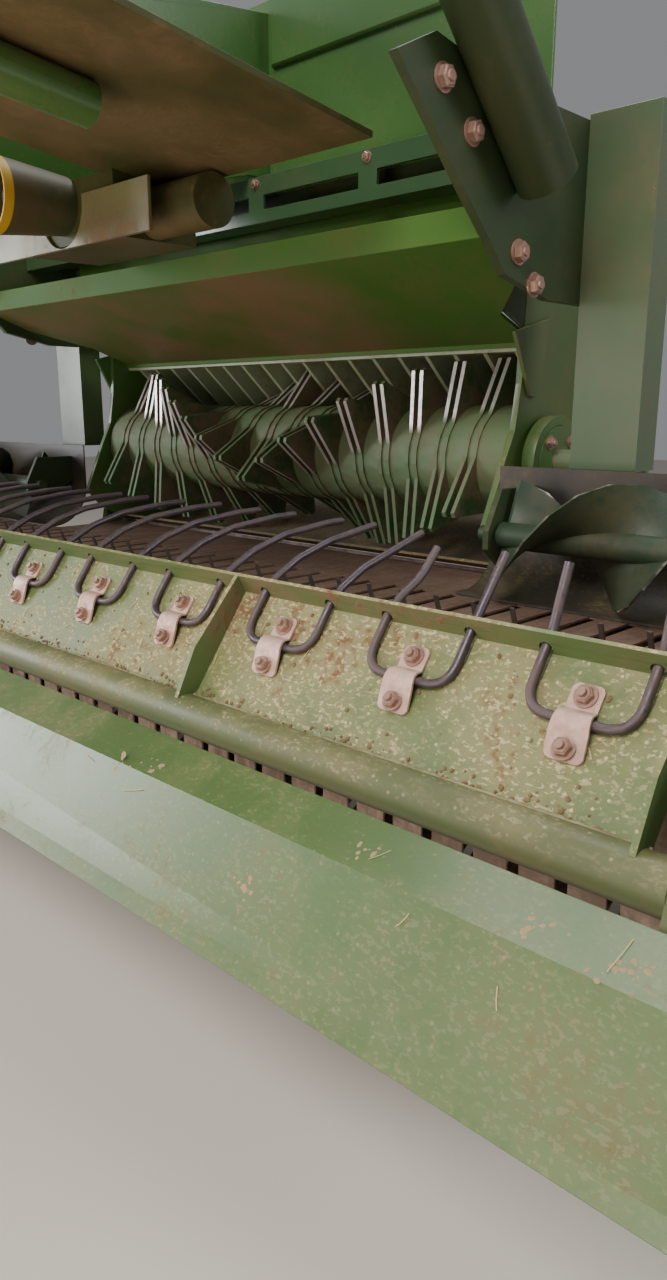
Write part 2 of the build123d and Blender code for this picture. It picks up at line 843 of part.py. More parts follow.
def rim():
    half = wheel_w / 2 - 22
    body = rod_x(wheel_y, wheel_z, rim_r, wheel_x - half, wheel_x + half)
    for x0, x1 in ((wheel_x + 6, wheel_x + half + 1), (wheel_x - half - 1, wheel_x - 6)):
        body -= rod_x(wheel_y, wheel_z, rim_r - rim_wall, x0, x1)
    body += rod_x(wheel_y, wheel_z, hub_r, wheel_x - half - 6, wheel_x + half + 6)
    return body - rod_x(wheel_y, wheel_z, axle_r + shaft_fit, wheel_x - wheel_w, wheel_x + wheel_w)


def build():
    right = {
        "side_plate": side_plate(),
        "frame_post": post(),
        "stay": stay(),
        "pickup_side": pickup_side(),
        "auger_trough": trough(),
        "hinge_arm": hinge_arm(),
        "guard_arm": guard_arm(),
        "tyre": tyre(),
        "rim": rim(),
        "auger": auger(),
        "tongue_cheek": tongue_cheek(),
    }
    nodes = {}
    for name, part in right.items():
        nodes[name + "_right"] = part
        nodes[name + "_left"] = mirrored(part)
    nodes["rotor_bearings"] = both(bearing())
    nodes["lip_gussets"] = both(gusset())
    nodes["auger_arms"] = both(auger_arm())
    nodes["rotor"] = rotor()
    nodes["feed_floor"] = feed_floor()
    nodes["scraper_comb"] = scrapers()
    nodes["cross_panel"] = cross_panel()
    nodes["cross_member"] = cross_member()
    nodes["slotted_beam"] = slotted_beam()
    nodes["front_wall"] = front_wall()
    nodes["tongue_floor"] = tongue_floor()
    nodes["tongue_tube"] = tongue_tube()
    nodes["gearbox"] = gearbox()
    nodes["input_shaft"] = input_shaft()
    nodes["bell_guard"] = bell_guard()
    nodes["gearbox_guard"] = notch_plate()
    nodes["stripper_bands"] = stripper_bands()
    nodes["reel"] = reel()
    nodes["reel_tines"] = reel_tines()
    nodes["guard_plate"] = guard_plate()
    nodes["guard_tube"] = guard_tube()
    nodes["guard_rods"] = guard_rods()
    nodes["rod_clamps"] = rod_clamps()
    nodes["apron"] = apron()
    return nodes


os.makedirs("parts", exist_ok=True)
for node, part in build().items():
    export_step(part, f"parts/{node}.step")
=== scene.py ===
"""Looks of a round baler's pickup and feed intake unit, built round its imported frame.

Everything is in metres, in the frame of the CAD part: +X to the right as seen from the
front, +Y to the rear, +Z up, the origin between the bolted rear feet of the side plates.
"""

import json
import logging
import math
import random
from dataclasses import dataclass, field
from enum import Enum

import bmesh
import bpy
from mathutils import Matrix, Vector

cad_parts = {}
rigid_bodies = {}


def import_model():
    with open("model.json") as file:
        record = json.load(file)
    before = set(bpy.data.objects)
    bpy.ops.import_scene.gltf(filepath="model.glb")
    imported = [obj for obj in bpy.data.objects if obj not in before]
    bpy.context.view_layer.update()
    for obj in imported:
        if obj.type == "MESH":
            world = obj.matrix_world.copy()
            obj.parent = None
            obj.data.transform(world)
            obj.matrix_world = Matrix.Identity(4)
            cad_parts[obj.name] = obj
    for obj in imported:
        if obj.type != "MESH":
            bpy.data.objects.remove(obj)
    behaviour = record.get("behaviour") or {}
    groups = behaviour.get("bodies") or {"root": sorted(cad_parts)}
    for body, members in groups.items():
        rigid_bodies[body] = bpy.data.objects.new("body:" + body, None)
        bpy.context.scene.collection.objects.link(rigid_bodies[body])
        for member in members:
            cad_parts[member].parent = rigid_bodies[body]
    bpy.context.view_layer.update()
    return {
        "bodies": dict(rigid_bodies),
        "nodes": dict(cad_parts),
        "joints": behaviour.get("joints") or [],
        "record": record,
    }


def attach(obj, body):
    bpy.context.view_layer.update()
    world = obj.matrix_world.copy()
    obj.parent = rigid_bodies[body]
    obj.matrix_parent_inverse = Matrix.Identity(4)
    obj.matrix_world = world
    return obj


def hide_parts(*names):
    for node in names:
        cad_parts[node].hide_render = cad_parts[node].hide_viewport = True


LOG = logging.getLogger("intake")

Colour = tuple[float, float, float]
Point = tuple[float, float, float]
Span = tuple[float, float]
SideView = list[tuple[float, float]]

MM = 0.001
SEED = 11

# (Y, Z) of the shafts
ROTOR_AXIS = (-0.258, -0.088)
AUGER_AXIS = (-0.510, -0.184)

SMOOTH_ANGLE = math.radians(35)
BEVEL_ANGLE = math.radians(40)
WELD_DISTANCE = 0.02 * MM


# Shader sums


class Wire:
    """A number on its way through a material, on which sums can be written."""

    def __init__(self, graph: "Graph", socket: bpy.types.NodeSocket) -> None:
        """Wraps a socket.

        Args:
            graph: the material's graph, where new nodes go.
            socket: the output that carries the number.
        """
        self.graph = graph
        self.socket = socket

    def __add__(self, other: "Wire | float") -> "Wire":
        """The sum of two values."""
        return self.graph.maths("ADD", self, other)

    def __radd__(self, other: float) -> "Wire":
        """The sum, with the number first."""
        return self.graph.maths("ADD", other, self)

    def __sub__(self, other: "Wire | float") -> "Wire":
        """The difference of two values."""
        return self.graph.maths("SUBTRACT", self, other)

    def __rsub__(self, other: float) -> "Wire":
        """The difference, with the number first."""
        return self.graph.maths("SUBTRACT", other, self)

    def __mul__(self, other: "Wire | float") -> "Wire":
        """The product of two values."""
        return self.graph.maths("MULTIPLY", self, other)

    def __rmul__(self, other: float) -> "Wire":
        """The product, with the number first."""
        return self.graph.maths("MULTIPLY", other, self)

    def clamped(self) -> "Wire":
        """The value, kept from 0 to 1."""
        return self.graph.maths("MAXIMUM", self.graph.maths("MINIMUM", self, 1.0), 0.0)

    def step(self, low: float, high: float) -> "Wire":
        """A smooth step of the value.

        Args:
            low: where the result starts to leave 0.
            high: where the result reaches 1.

        Returns:
            The step, from 0 to 1.
        """
        made = self.graph.node(
            "ShaderNodeMapRange",
            {"interpolation_type": "SMOOTHSTEP"},
            {"Value": self, "From Min": low, "From Max": high},
        )
        return Wire(self.graph, made.outputs["Result"])


class Graph:
    """The nodes of one material."""

    def __init__(self, name: str) -> None:
        """Starts a material with an empty node tree.

        Args:
            name: the material's name.
        """
        self.material = bpy.data.materials.new(name)
        self.material.use_nodes = True
        self.tree = self.material.node_tree
        self.tree.nodes.clear()
        place = self.node("ShaderNodeTexCoord")
        self.place = place.outputs["Object"]
        self.facing = self.split(place.outputs["Normal"])
        self.where = self.split(self.place)

    def node(self, kind: str, settings: dict | None = None, inputs: dict | None = None) -> bpy.types.Node:
        """Adds a node.

        Args:
            kind: the node's type.
            settings: its properties, set first.
            inputs: values or links by the names or numbers of its sockets.

        Returns:
            The node.
        """
        made = self.tree.nodes.new(kind)
        for key, value in (settings or {}).items():
            setattr(made, key, value)
        for key, value in (inputs or {}).items():
            socket = made.inputs[key]
            if isinstance(value, Wire):
                self.tree.links.new(value.socket, socket)
            elif isinstance(value, bpy.types.NodeSocket):
                self.tree.links.new(value, socket)
            else:
                socket.default_value = value
        return made

    def maths(self, operation: str, *values: "Wire | float") -> Wire:
        """A Math node on one or more values."""
        made = self.node("ShaderNodeMath", {"operation": operation}, dict(enumerate(values)))
        return Wire(self, made.outputs[0])

    def split(self, vector: bpy.types.NodeSocket) -> tuple[Wire, Wire, Wire]:
        """The X, Y and Z of a vector."""
        made = self.node("ShaderNodeSeparateXYZ", None, {"Vector": vector})
        return tuple(Wire(self, socket) for socket in made.outputs)

    def noise(self, scale: float, detail: float = 3.0, stretch: Point = (1, 1, 1)) -> Wire:
        """Soft noise from 0 to 1.

        Args:
            scale: patches per metre.
            detail: how many finer layers it has.
            stretch: its scale along X, Y and Z.

        Returns:
            The noise.
        """
        mapped = self.node("ShaderNodeMapping", None, {"Vector": self.place, "Scale": stretch})
        made = self.node(
            "ShaderNodeTexNoise",
            None,
            {"Vector": mapped.outputs[0], "Scale": scale, "Detail": detail, "Roughness": 0.6},
        )
        return Wire(self, made.outputs[0])

    def specks(self, scale: float, size: float, share: float) -> Wire:
        """Small spots scattered over the surface.

        Args:
            scale: cells per metre.
            size: a spot's radius as a share of its cell.
            share: how many of the cells have one, from 0 to 1.

        Returns:
            1 in a spot and 0 elsewhere.
        """
        made = self.node("ShaderNodeTexVoronoi", None, {"Vector": self.place, "Scale": scale})
        distance = Wire(self, made.outputs["Distance"])
        pick = self.split(made.outputs["Color"])[0]
        inside = 1.0 - distance.step(size * 0.6, size)
        return inside * (1.0 - pick.step(share - 0.02, share))

    def mix(self, factor: "Wire | float", first: object, second: object) -> bpy.types.NodeSocket:
        """A colour between two colours.

        Args:
            factor: 0 for the first, 1 for the second.
            first: a colour or the socket of one.
            second: a colour or the socket of one.

        Returns:
            The mixed colour's socket.
        """
        settings = {"data_type": "RGBA"}
        ends = [c if isinstance(c, bpy.types.NodeSocket) else (*c, 1.0) for c in (first, second)]
        made = self.node("ShaderNodeMix", settings, {0: factor, 6: ends[0], 7: ends[1]})
        return made.outputs[2]

    def bump(self, height: Wire, distance: float, strength: float = 1.0) -> bpy.types.NodeSocket:
        """A bumped normal from a height."""
        inputs = {"Height": height, "Distance": distance, "Strength": strength}
        return self.node("ShaderNodeBump", None, inputs).outputs[0]

    def surface(self, inputs: dict) -> bpy.types.Material:
        """Ends the material in one surface shader.

        Args:
            inputs: values or links by the names of the shader's sockets.

        Returns:
            The finished material.
        """
        shader = self.node("ShaderNodeBsdfPrincipled", None, inputs)
        output = self.node("ShaderNodeOutputMaterial")
        self.tree.links.new(shader.outputs[0], output.inputs[0])
        return self.material


# Finishes

DUST: Colour = (0.44, 0.385, 0.185)
MUD: Colour = (0.13, 0.08, 0.035)
# Soil brown, also standing for painted brown bounce light from the ground on what faces down
SOIL_AND_BOUNCE: Colour = (0.17, 0.112, 0.056)
CHAFF: Colour = (0.62, 0.53, 0.30)
RUST: Colour = (0.20, 0.075, 0.030)
BARE: Colour = (0.72, 0.62, 0.58)


class Slot(Enum):
    """The material slots of the part's record, named for each new piece."""

    PAINT = "green_paint"
    BANDS = "band_steel"
    RODS = "rod_steel"
    ZINC = "zinc"
    TYRE = "tyre_rubber"


@dataclass(frozen=True)
class Paint:
    """Farm paint with dust on what faces up, soil and painted brown bounce light on what faces down, stains,
    chaff and rust.
    """

    name: str
    colour: Colour
    faded: Colour
    dust: float = 0.4
    film: float = 0.15
    # how much soil and painted brown bounce light covers what faces down
    soil: float = 0.2
    stain: float = 0.2
    chaff: float = 0.2
    rust: float = 0.06
    roughness: float = 0.36
    coat: float = 0.25
    gleam: float = 0.5
    underside_brown_to_x: float = 9.0  # past this X neither soil nor painted bounce light shows below
    underside_brown_fade: float = 0.22

    def material(self) -> bpy.types.Material:
        """Builds the material."""
        g = Graph(self.name)
        wide = g.noise(2.3, 4.0)
        patch = g.noise(9.0, 5.0)
        fine = g.noise(70.0, 4.0)
        crumb = g.noise(210.0, 2.5, (0.6, 1.0, 1.0))
        grain = g.noise(420.0, 2.0)
        up = g.facing[2].step(-0.15, 0.9)
        down = g.facing[2].step(-0.85, -0.2)
        colour = g.mix(wide.step(0.35, 0.7), self.colour, self.faded)
        film = ((patch * 0.7 + wide * 0.5).step(0.42, 0.8) * self.film + 0.3 * self.film).clamped()
        colour = g.mix(film, colour, MUD)
        # Soil and painted brown bounce light from the ground on what faces down
        underside_patches = (wide * 0.6 + patch * 0.4).step(0.36, 0.62) * 0.7 + 0.3
        below = ((1.0 - down) * underside_patches * self.soil).clamped()
        clear_underside = g.where[0].step(self.underside_brown_to_x - self.underside_brown_fade, self.underside_brown_to_x)
        colour = g.mix(below * (1.0 - clear_underside), colour, SOIL_AND_BOUNCE)
        cover = (patch * 0.55 + wide * 0.35 + fine * 0.2).step(0.44, 0.66)
        dusty = (up * (cover * 0.72 + 0.28) * self.dust).clamped()
        colour = g.mix(dusty, colour, DUST)
        stained = ((wide * 0.3 + patch * 0.4 + fine * 0.4).step(0.56, 0.69) * self.stain).clamped()
        colour = g.mix(stained, colour, SOIL_AND_BOUNCE)
        flecks = crumb.step(0.54, 0.61) * (patch.step(0.38, 0.60) * 0.8 + 0.2)
        spots = g.specks(170.0, 0.4, 0.3) * fine.step(0.42, 0.6)
        chaff = ((flecks * 0.75 + spots) * up.step(0.05, 0.5) * self.chaff).clamped()
        colour = g.mix(chaff, colour, CHAFF)
        rusty = (patch * 0.55 + fine * 0.55).step(0.7 - self.rust, 0.78 - self.rust) * 0.8
        colour = g.mix(rusty, colour, RUST)
        matt = (dusty * 0.3 + chaff * 0.3 + (rusty + stained + film) * 0.35 + self.roughness).clamped()
        height = grain * 0.2 + chaff + rusty * 0.6 + stained * 0.5
        return g.surface(
            {
                "Base Color": colour,
                "Roughness": matt,
                "Coat Weight": (1.0 - (dusty * 0.8 + film + stained).clamped()) * self.coat,
                "Coat Roughness": 0.28,
                "Specular IOR Level": self.gleam,
                "Normal": g.bump(height, 0.0007),
            }
        )


@dataclass(frozen=True)
class Steel:
    """Bare steel with brown patches and fine scratches."""

    name: str
    colour: Colour
    stain: Colour
    stained: float = 0.4
    metallic: float = 0.75
    roughness: float = 0.34

    def material(self) -> bpy.types.Material:
        """Builds the material."""
        g = Graph(self.name)
        patch = g.noise(11.0, 5.0)
        fine = g.noise(120.0, 3.0)
        stain = ((patch * 0.6 + fine * 0.4).step(0.38, 0.66) * self.stained).clamped()
        colour = g.mix(stain, self.colour, self.stain)
        return g.surface(
            {
                "Base Color": colour,
                "Metallic": (1.0 - stain) * self.metallic,
                "Roughness": (stain * 0.35 + fine * 0.12 + self.roughness).clamped(),
                "Normal": g.bump(fine, 0.0004),
            }
        )


@dataclass(frozen=True)
class Bands:
    """The pickup's bands: pale in front, where the crop scrapes them, with a painted highlight there; dirty
    and darkened with painted shade towards the rotor.
    """

    name: str
    rubbed_and_lit: Colour
    dirty_and_shaded: Colour
    dirt: Colour
    front_y: float = -0.93
    rear_y: float = -0.84

    def material(self) -> bpy.types.Material:
        """Builds the material."""
        g = Graph(self.name)
        patch = g.noise(9.0, 5.0)
        fine = g.noise(110.0, 3.0)
        streak = g.noise(60.0, 3.0, (1.0, 0.12, 0.12))
        rear = g.where[1].step(self.front_y, self.rear_y)
        dirty = ((patch * 0.5 + fine * 0.25 + streak * 0.3).step(0.40, 0.62) * (0.35 + rear * 0.5)).clamped()
        # Paler in front, where the crop scrapes the bands and a painted highlight stands for the light they
        # catch; darker to the rear, from dirt and painted shade.
        colour = g.mix(dirty, g.mix(rear, self.rubbed_and_lit, self.dirty_and_shaded), self.dirt)
        return g.surface(
            {
                "Base Color": colour,
                "Metallic": (1.0 - dirty) * 0.35,
                "Roughness": (0.42 + dirty * 0.35 + fine * 0.1).clamped(),
                "Normal": g.bump(fine + streak * 0.5, 0.0005),
            }
        )


@dataclass(frozen=True)
class RubbedStar:
    """The rotor's finish: green, dusty, polished by the crop on each tine's leading edge, its plates' edges
    paler from chipped paint and a painted highlight.
    """

    name: str
    paint: Colour
    edge_chips_and_highlight: Colour
    axis_y: float
    axis_z: float
    dust: Colour = (0.18, 0.125, 0.080)
    bright: Colour = (0.86, 0.76, 0.76)
    rubbed_from: float = 0.098
    rubbed_to: float = 0.110

    def material(self) -> bpy.types.Material:
        """Builds the material."""
        g = Graph(self.name)
        y = g.where[1] - self.axis_y
        z = g.where[2] - self.axis_z
        radius = g.maths("SQRT", y * y + z * z)
        patch = g.noise(14.0, 4.0)
        fine = g.noise(90.0, 3.0)
        edge = 1.0 - g.maths("ABSOLUTE", g.facing[0]).step(0.2, 0.7)
        across = g.maths("DIVIDE", y * g.facing[2] - z * g.facing[1], radius)
        leading = across.step(0.1, 0.5)
        reach = (radius + (patch - 0.5) * 0.012).step(self.rubbed_from, self.rubbed_to)
        polished = (reach * edge * leading * (0.55 + fine * 0.6)).clamped()
        low = 1.0 - (radius + (patch - 0.5) * 0.05).step(0.095, 0.15)
        dusty = ((patch * 0.7 + fine * 0.3).step(0.40, 0.60) * 0.8 + low * 0.25) * (1.0 - 0.6 * edge)
        # The plates' edges are paler: chipped paint and a painted highlight.
        colour = g.mix(edge * 0.7, self.paint, self.edge_chips_and_highlight)
        colour = g.mix(dusty.clamped(), colour, self.dust)
        colour = g.mix(polished, colour, self.bright)
        return g.surface(
            {
                "Base Color": colour,
                "Metallic": polished * 0.85,
                "Roughness": (0.58 - polished * 0.34 + fine * 0.1).clamped(),
                "Normal": g.bump(fine, 0.0005),
            }
        )


@dataclass(frozen=True)
class WornFlight:
    """The augers' finish: dark paint, rubbed bright at the rim of the flight."""

    name: str
    paint: Colour
    axis_y: float
    axis_z: float
    rim_from: float
    rim_to: float

    def material(self) -> bpy.types.Material:
        """Builds the material."""
        g = Graph(self.name)
        y = g.where[1] - self.axis_y
        z = g.where[2] - self.axis_z
        patch = g.noise(12.0, 4.0)
        fine = g.noise(80.0, 3.0)
        radius = g.maths("SQRT", y * y + z * z) + (patch - 0.5) * 0.03
        bright = (radius.step(self.rim_from, self.rim_to) * (0.5 + fine * 0.6)).clamped()
        dirty = (patch * 0.6 + fine * 0.4).step(0.42, 0.66) * 0.3
        colour = g.mix(dirty, self.paint, MUD)
        colour = g.mix(bright, colour, BARE)
        return g.surface(
            {
                "Base Color": colour,
                "Metallic": bright * 0.8,
                "Roughness": (0.5 + dirty * 0.2 - bright * 0.16).clamped(),
                "Normal": g.bump(fine, 0.0005),
            }
        )


@dataclass(frozen=True)
class Housing:
    """The drive's housing: dusty casting behind a line across it, plastic in front of it."""

    name: str
    casting: Colour
    plastic: Colour
    split_y: float

    def material(self) -> bpy.types.Material:
        """Builds the material."""
        g = Graph(self.name)
        patch = g.noise(13.0, 4.0)
        dirty = patch.step(0.36, 0.62) * 0.6
        behind = g.where[1].step(self.split_y - 0.001, self.split_y + 0.001)
        colour = g.mix(behind, self.plastic, g.mix(dirty, self.casting, MUD))
        return g.surface({"Base Color": colour, "Roughness": 0.5, "Normal": g.bump(patch, 0.0005)})


@dataclass(frozen=True)
class Plain:
    """A plain moulded or rubber surface with a little dust."""

    name: str
    colour: Colour
    roughness: float = 0.6
    dust: float = 0.25

    def material(self) -> bpy.types.Material:
        """Builds the material."""
        g = Graph(self.name)
        patch = g.noise(16.0, 4.0)
        fine = g.noise(130.0, 2.0)
        dusty = ((patch * 0.6 + fine * 0.4).step(0.35, 0.7) * self.dust).clamped()
        return g.surface(
            {
                "Base Color": g.mix(dusty, self.colour, DUST),
                "Roughness": (dusty * 0.2 + self.roughness).clamped(),
                "Normal": g.bump(fine, 0.0003),
            }
        )


GREEN: Colour = (0.040, 0.118, 0.024)
GREEN_FADED: Colour = (0.060, 0.130, 0.032)

# Paints
WALL_PAINT = Paint(
    "paint_glossy", GREEN, (0.050, 0.150, 0.034),
    dust=0.10, film=0.08, soil=0.1, stain=0.08, chaff=0.04, rust=0.01, roughness=0.24, coat=0.7,
)
GUARD_PAINT = Paint(
    "paint_dusty", GREEN_FADED, (0.10, 0.155, 0.05),
    dust=0.62, film=0.34, soil=0.3, stain=0.85, chaff=0.85, rust=0.05, roughness=0.46, coat=0.15,
)
TUBE_PAINT = Paint(
    "paint_tube", (0.052, 0.084, 0.026), (0.060, 0.112, 0.032),
    dust=0.34, film=0.42, soil=0.3, stain=0.75, chaff=0.30, rust=0.03, roughness=0.44, coat=0.15,
)
APRON_PAINT = Paint(
    "paint_apron", (0.050, 0.118, 0.026), (0.066, 0.140, 0.034),
    dust=0.18, film=0.10, soil=0.2, stain=0.42, chaff=0.13, rust=0.0, roughness=0.44, coat=0.5,
)
UNDER_PAINT = Paint(
    "paint_under", (0.046, 0.125, 0.018), (0.05, 0.135, 0.020),
    dust=0.06, film=0.10, soil=0.95, stain=0.2, chaff=0.05, rust=0.0, roughness=0.55, coat=0.0,
    gleam=0.15, underside_brown_to_x=0.46,
)
# Tongue floor and gearbox: a dark olive far below the machine's green, as painted shade under the tongue.
TONGUE_PAINTED_SHADE = Paint(
    "paint_tongue_painted_shade", (0.030, 0.046, 0.010), (0.04, 0.056, 0.014),
    dust=0.1, film=0.3, soil=0.62, stain=0.45, chaff=0.05, rust=0.0, roughness=0.5, coat=0.05,
    gleam=0.2,
)
# Scraper comb: a pale grey-green, much lighter than the frame's green, as painted light on scrapers that sit
# in shade.
COMB_PAINTED_LIGHT = Paint(
    "paint_comb_painted_light", (0.30, 0.37, 0.23), (0.34, 0.40, 0.26),
    dust=0.2, film=0.25, soil=0.15, stain=0.35, chaff=0.1, rust=0.0, roughness=0.5, coat=0.1,
)
# Posts: a greyer green that paints in the sky's sheen on their faces.
POST_PAINTED_SHEEN = Paint(
    "paint_post_painted_sheen", (0.056, 0.108, 0.046), (0.074, 0.124, 0.064),
    dust=0.12, film=0.2, soil=0.1, stain=0.15, chaff=0.10, rust=0.0, roughness=0.30, coat=0.7,
)
# Slotted beam: a darker, bluer green, as painted shade on a beam that sits in shadow.
BEAM_PAINTED_SHADE = Paint(
    "paint_beam_painted_shade", (0.022, 0.066, 0.026), (0.026, 0.078, 0.032),
    dust=0.05, film=0.06, soil=0.1, stain=0.1, chaff=0.05, rust=0.0, roughness=0.30, coat=0.5,
)
FRAME_PAINT = Paint(
    "paint_frame", GREEN, GREEN_FADED,
    dust=0.22, film=0.2, soil=0.25, stain=0.15, chaff=0.10, rust=0.0, roughness=0.34, coat=0.4,
)
SHADE_PAINT = Paint(
    "paint_shade", (0.022, 0.046, 0.018), (0.026, 0.054, 0.020),
    dust=0.05, film=0.10, soil=0.1, stain=0.1, chaff=0.05, rust=0.0, roughness=0.40, coat=0.2,
    gleam=0.3,
)
# Auger troughs: a near-black grey in place of the machine's green, as painted shade inside the troughs.
TROUGH_PAINTED_SHADE = Paint(
    "paint_trough_painted_shade", (0.016, 0.018, 0.019), (0.022, 0.024, 0.025),
    dust=0.10, film=0.25, soil=0.3, stain=0.2, chaff=0.10, rust=0.0, roughness=0.34, coat=0.3,
)
FLOOR_PAINT = Paint(
    "paint_floor", (0.07, 0.055, 0.035), (0.10, 0.07, 0.045),
    dust=0.2, film=0.8, soil=0.5, stain=0.6, chaff=0.2, rust=0.05, roughness=0.6, coat=0.0,
)
CREAM_PAINT = Paint(
    "paint_cream", (0.42, 0.40, 0.27), (0.50, 0.46, 0.32),
    dust=0.3, film=0.35, soil=0.2, stain=0.2, chaff=0.1, rust=0.04, roughness=0.42, coat=0.2,
)
NOTCH_PAINT = Paint(
    "paint_notched", (0.20, 0.20, 0.085), (0.09, 0.10, 0.04),
    dust=0.2, film=0.55, soil=0.5, stain=0.8, chaff=0.1, rust=0.0, roughness=0.40, coat=0.3,
)

# Steels: name, colour, stain, how much of it, metallic, roughness
DARK_STEEL = Steel("dark_steel", (0.085, 0.07, 0.066), (0.09, 0.05, 0.03), 0.6, 0.6, 0.45)
PAN_STEEL = Steel("pan_steel", (0.20, 0.14, 0.115), (0.14, 0.09, 0.06), 0.6, 0.3, 0.5)
ROD_STEEL = Steel("rod_steel", (0.11, 0.09, 0.105), (0.12, 0.078, 0.065), 0.7, 0.75, 0.34)
ZINC = Steel("clamp_zinc", (0.68, 0.47, 0.40), (0.38, 0.22, 0.15), 0.65, 0.45, 0.42)
BOLT_ZINC = Steel("bolt_zinc", (0.46, 0.30, 0.24), (0.17, 0.085, 0.055), 0.7, 0.85, 0.30)
WELD = Steel("weld_bead", (0.34, 0.32, 0.17), (0.16, 0.09, 0.045), 0.8, 0.1, 0.6)

# Plain ones: name, colour, roughness, dust
STRAW = Plain("straw", (0.56, 0.42, 0.21), 0.7, 0.2)
CRUMBS = Plain("dry_soil", (0.15, 0.088, 0.045), 0.9, 0.3)
SPLASH = Plain("dry_splash", (0.34, 0.24, 0.13), 0.85, 0.3)
RUBBER = Plain("tyre_rubber", (0.022, 0.022, 0.022), 0.75, 0.30)

# Finishes that follow a piece's shape
# Bands: the pale front is partly a painted highlight, the dark rear partly painted shade, with dirt over
# both.
BAND_STEEL = Bands("band_steel", (0.74, 0.55, 0.46), (0.24, 0.155, 0.115), (0.10, 0.056, 0.036))
BELL = Housing("bell_housing", (0.050, 0.062, 0.024), (0.62, 0.36, 0.03), -0.918)
ROTOR = RubbedStar("rubbed_star", (0.036, 0.092, 0.028), (0.14, 0.22, 0.10), *ROTOR_AXIS)
FLIGHT = WornFlight("worn_flight", (0.026, 0.048, 0.024), *AUGER_AXIS, 0.088, 0.094)

Finish = Paint | Steel | Bands | RubbedStar | WornFlight | Housing | Plain


class Paintshop:
    """Hands out each finish's material, made once."""

    def __init__(self) -> None:
        """Starts with no materials."""
        self.made: dict[str, bpy.types.Material] = {}

    def material(self, finish: Finish) -> bpy.types.Material:
        """The material of a finish."""
        if finish.name not in self.made:
            self.made[finish.name] = finish.material()
        return self.made[finish.name]

    def dress(self, piece: bpy.types.Object, finish: Finish) -> None:
        """Gives a piece one finish all over."""
        piece.data.materials.clear()
        piece.data.materials.append(self.material(finish))


# Meshes


class Mesher:
    """One mesh in the making, from small solids."""

    def __init__(self) -> None:
        """Starts an empty mesh."""
        self.bm = bmesh.new()

    def cylinder(
        self, place: Matrix, radius: float, length: float, sides: int = 20, top: float | None = None
    ) -> None:
        """Adds a cylinder or a cone that stands on the place's XY plane.

        Args:
            place: where its foot is, with its axis along Z.
            radius: at the foot.
            length: along the axis.
            sides: how many faces go round.
            top: the radius at the top, as at the foot if left out.
        """
        lift = Matrix.Translation((0, 0, length / 2))
        bmesh.ops.create_cone(
            self.bm,
            cap_ends=True,
            segments=sides,
            radius1=radius,
            radius2=radius if top is None else top,
            depth=length,
            matrix=place @ lift,
        )

    def skin(self, loops: list[list[Point | Vector]], round_again: bool = False) -> None:
        """Adds a surface over loops with equal numbers of corners.

        Args:
            loops: the corners of each loop, in order.
            round_again: whether it ends where it starts; both ends are closed if not.
        """
        rows = [[self.bm.verts.new(corner) for corner in loop] for loop in loops]
        following = rows[1:] + rows[:1] if round_again else rows[1:]
        for here, there in zip(rows, following):
            for k in range(len(here)):
                after = (k + 1) % len(here)
                self.bm.faces.new((here[k], there[k], there[after], here[after]))
        if not round_again:
            self.bm.faces.new(rows[0])
            self.bm.faces.new(rows[-1][::-1])

    def ring(self, place: Matrix, profile: list[tuple[float, float]], steps: int) -> None:
        """Adds a closed ring turned about the place's Z axis.

        Args:
            place: the ring's centre and axis.
            profile: (radius, height) points of its section.
            steps: how many faces go round.
        """
        turns = [place @ Matrix.Rotation(math.tau * i / steps, 4, "Z") for i in range(steps)]
        self.skin([[turn @ Vector((r, 0, h)) for r, h in profile] for turn in turns], True)

    def prism(self, outline: SideView, x0: float, x1: float) -> None:
        """Adds a bar along X.

        Args:
            outline: its (Y, Z) corners.
            x0: where it starts.
            x1: where it ends.
        """
        self.skin([[(x, *corner) for corner in outline] for x in (x0, x1)])

    def piece(self, name: str, smooth: bool = True) -> bpy.types.Object:
        """Ends the mesh and puts it in the scene.

        Args:
            name: the piece's name.
            smooth: whether faces that meet at a small angle look round.

        Returns:
            The new object.
        """
        bmesh.ops.recalc_face_normals(self.bm, faces=self.bm.faces)
        mesh = bpy.data.meshes.new(name)
        self.bm.to_mesh(mesh)
        self.bm.free()
        made = bpy.data.objects.new(name, mesh)
        bpy.context.scene.collection.objects.link(made)
        if smooth:
            mesh.shade_smooth()
            for edge in mesh.edges:
                edge.use_edge_sharp = False
            mark_sharp(mesh, SMOOTH_ANGLE)
        return made


def mark_sharp(mesh: bpy.types.Mesh, angle: float) -> None:
    """Keeps the edges of a smooth mesh crisp where its faces meet at more than an angle."""
    bm = bmesh.new()
    bm.from_mesh(mesh)
    for edge in bm.edges:
        if len(edge.link_faces) != 2 or edge.calc_face_angle() > angle:
            edge.smooth = False
    bm.to_mesh(mesh)
    bm.free()


def aimed(at: Point, along: Point) -> Matrix:
    """A place whose Z axis points along a direction."""
    turn = Vector(along).to_track_quat("Z", "Y").to_matrix().to_4x4()
    return Matrix.Translation(at) @ turn


def rounded(points: list[Vector], radii: list[float], steps: int = 6) -> list[Vector]:
    """Rounds the corners of a line.

    Args:
        points: the line's corners and its two ends.
        radii: one bend radius for each corner.
        steps: how many short runs each bend has.

    Returns:
        The points of the rounded line.
    """
    line = [points[0]]
    for before, corner, after, radius in zip(points, points[1:], points[2:], radii):
        into = (before - corner).normalized()
        out = (after - corner).normalized()
        half = into.angle(out) / 2
        run = min(radius / math.tan(half), (before - corner).length / 2.1, (after - corner).length / 2.1)
        start, end = corner + into * run, corner + out * run
        for i in range(steps + 1):
            t = i / steps
            line.append(start * (1 - t) ** 2 + corner * 2 * t * (1 - t) + end * t**2)
    line.append(points[-1])
    return line


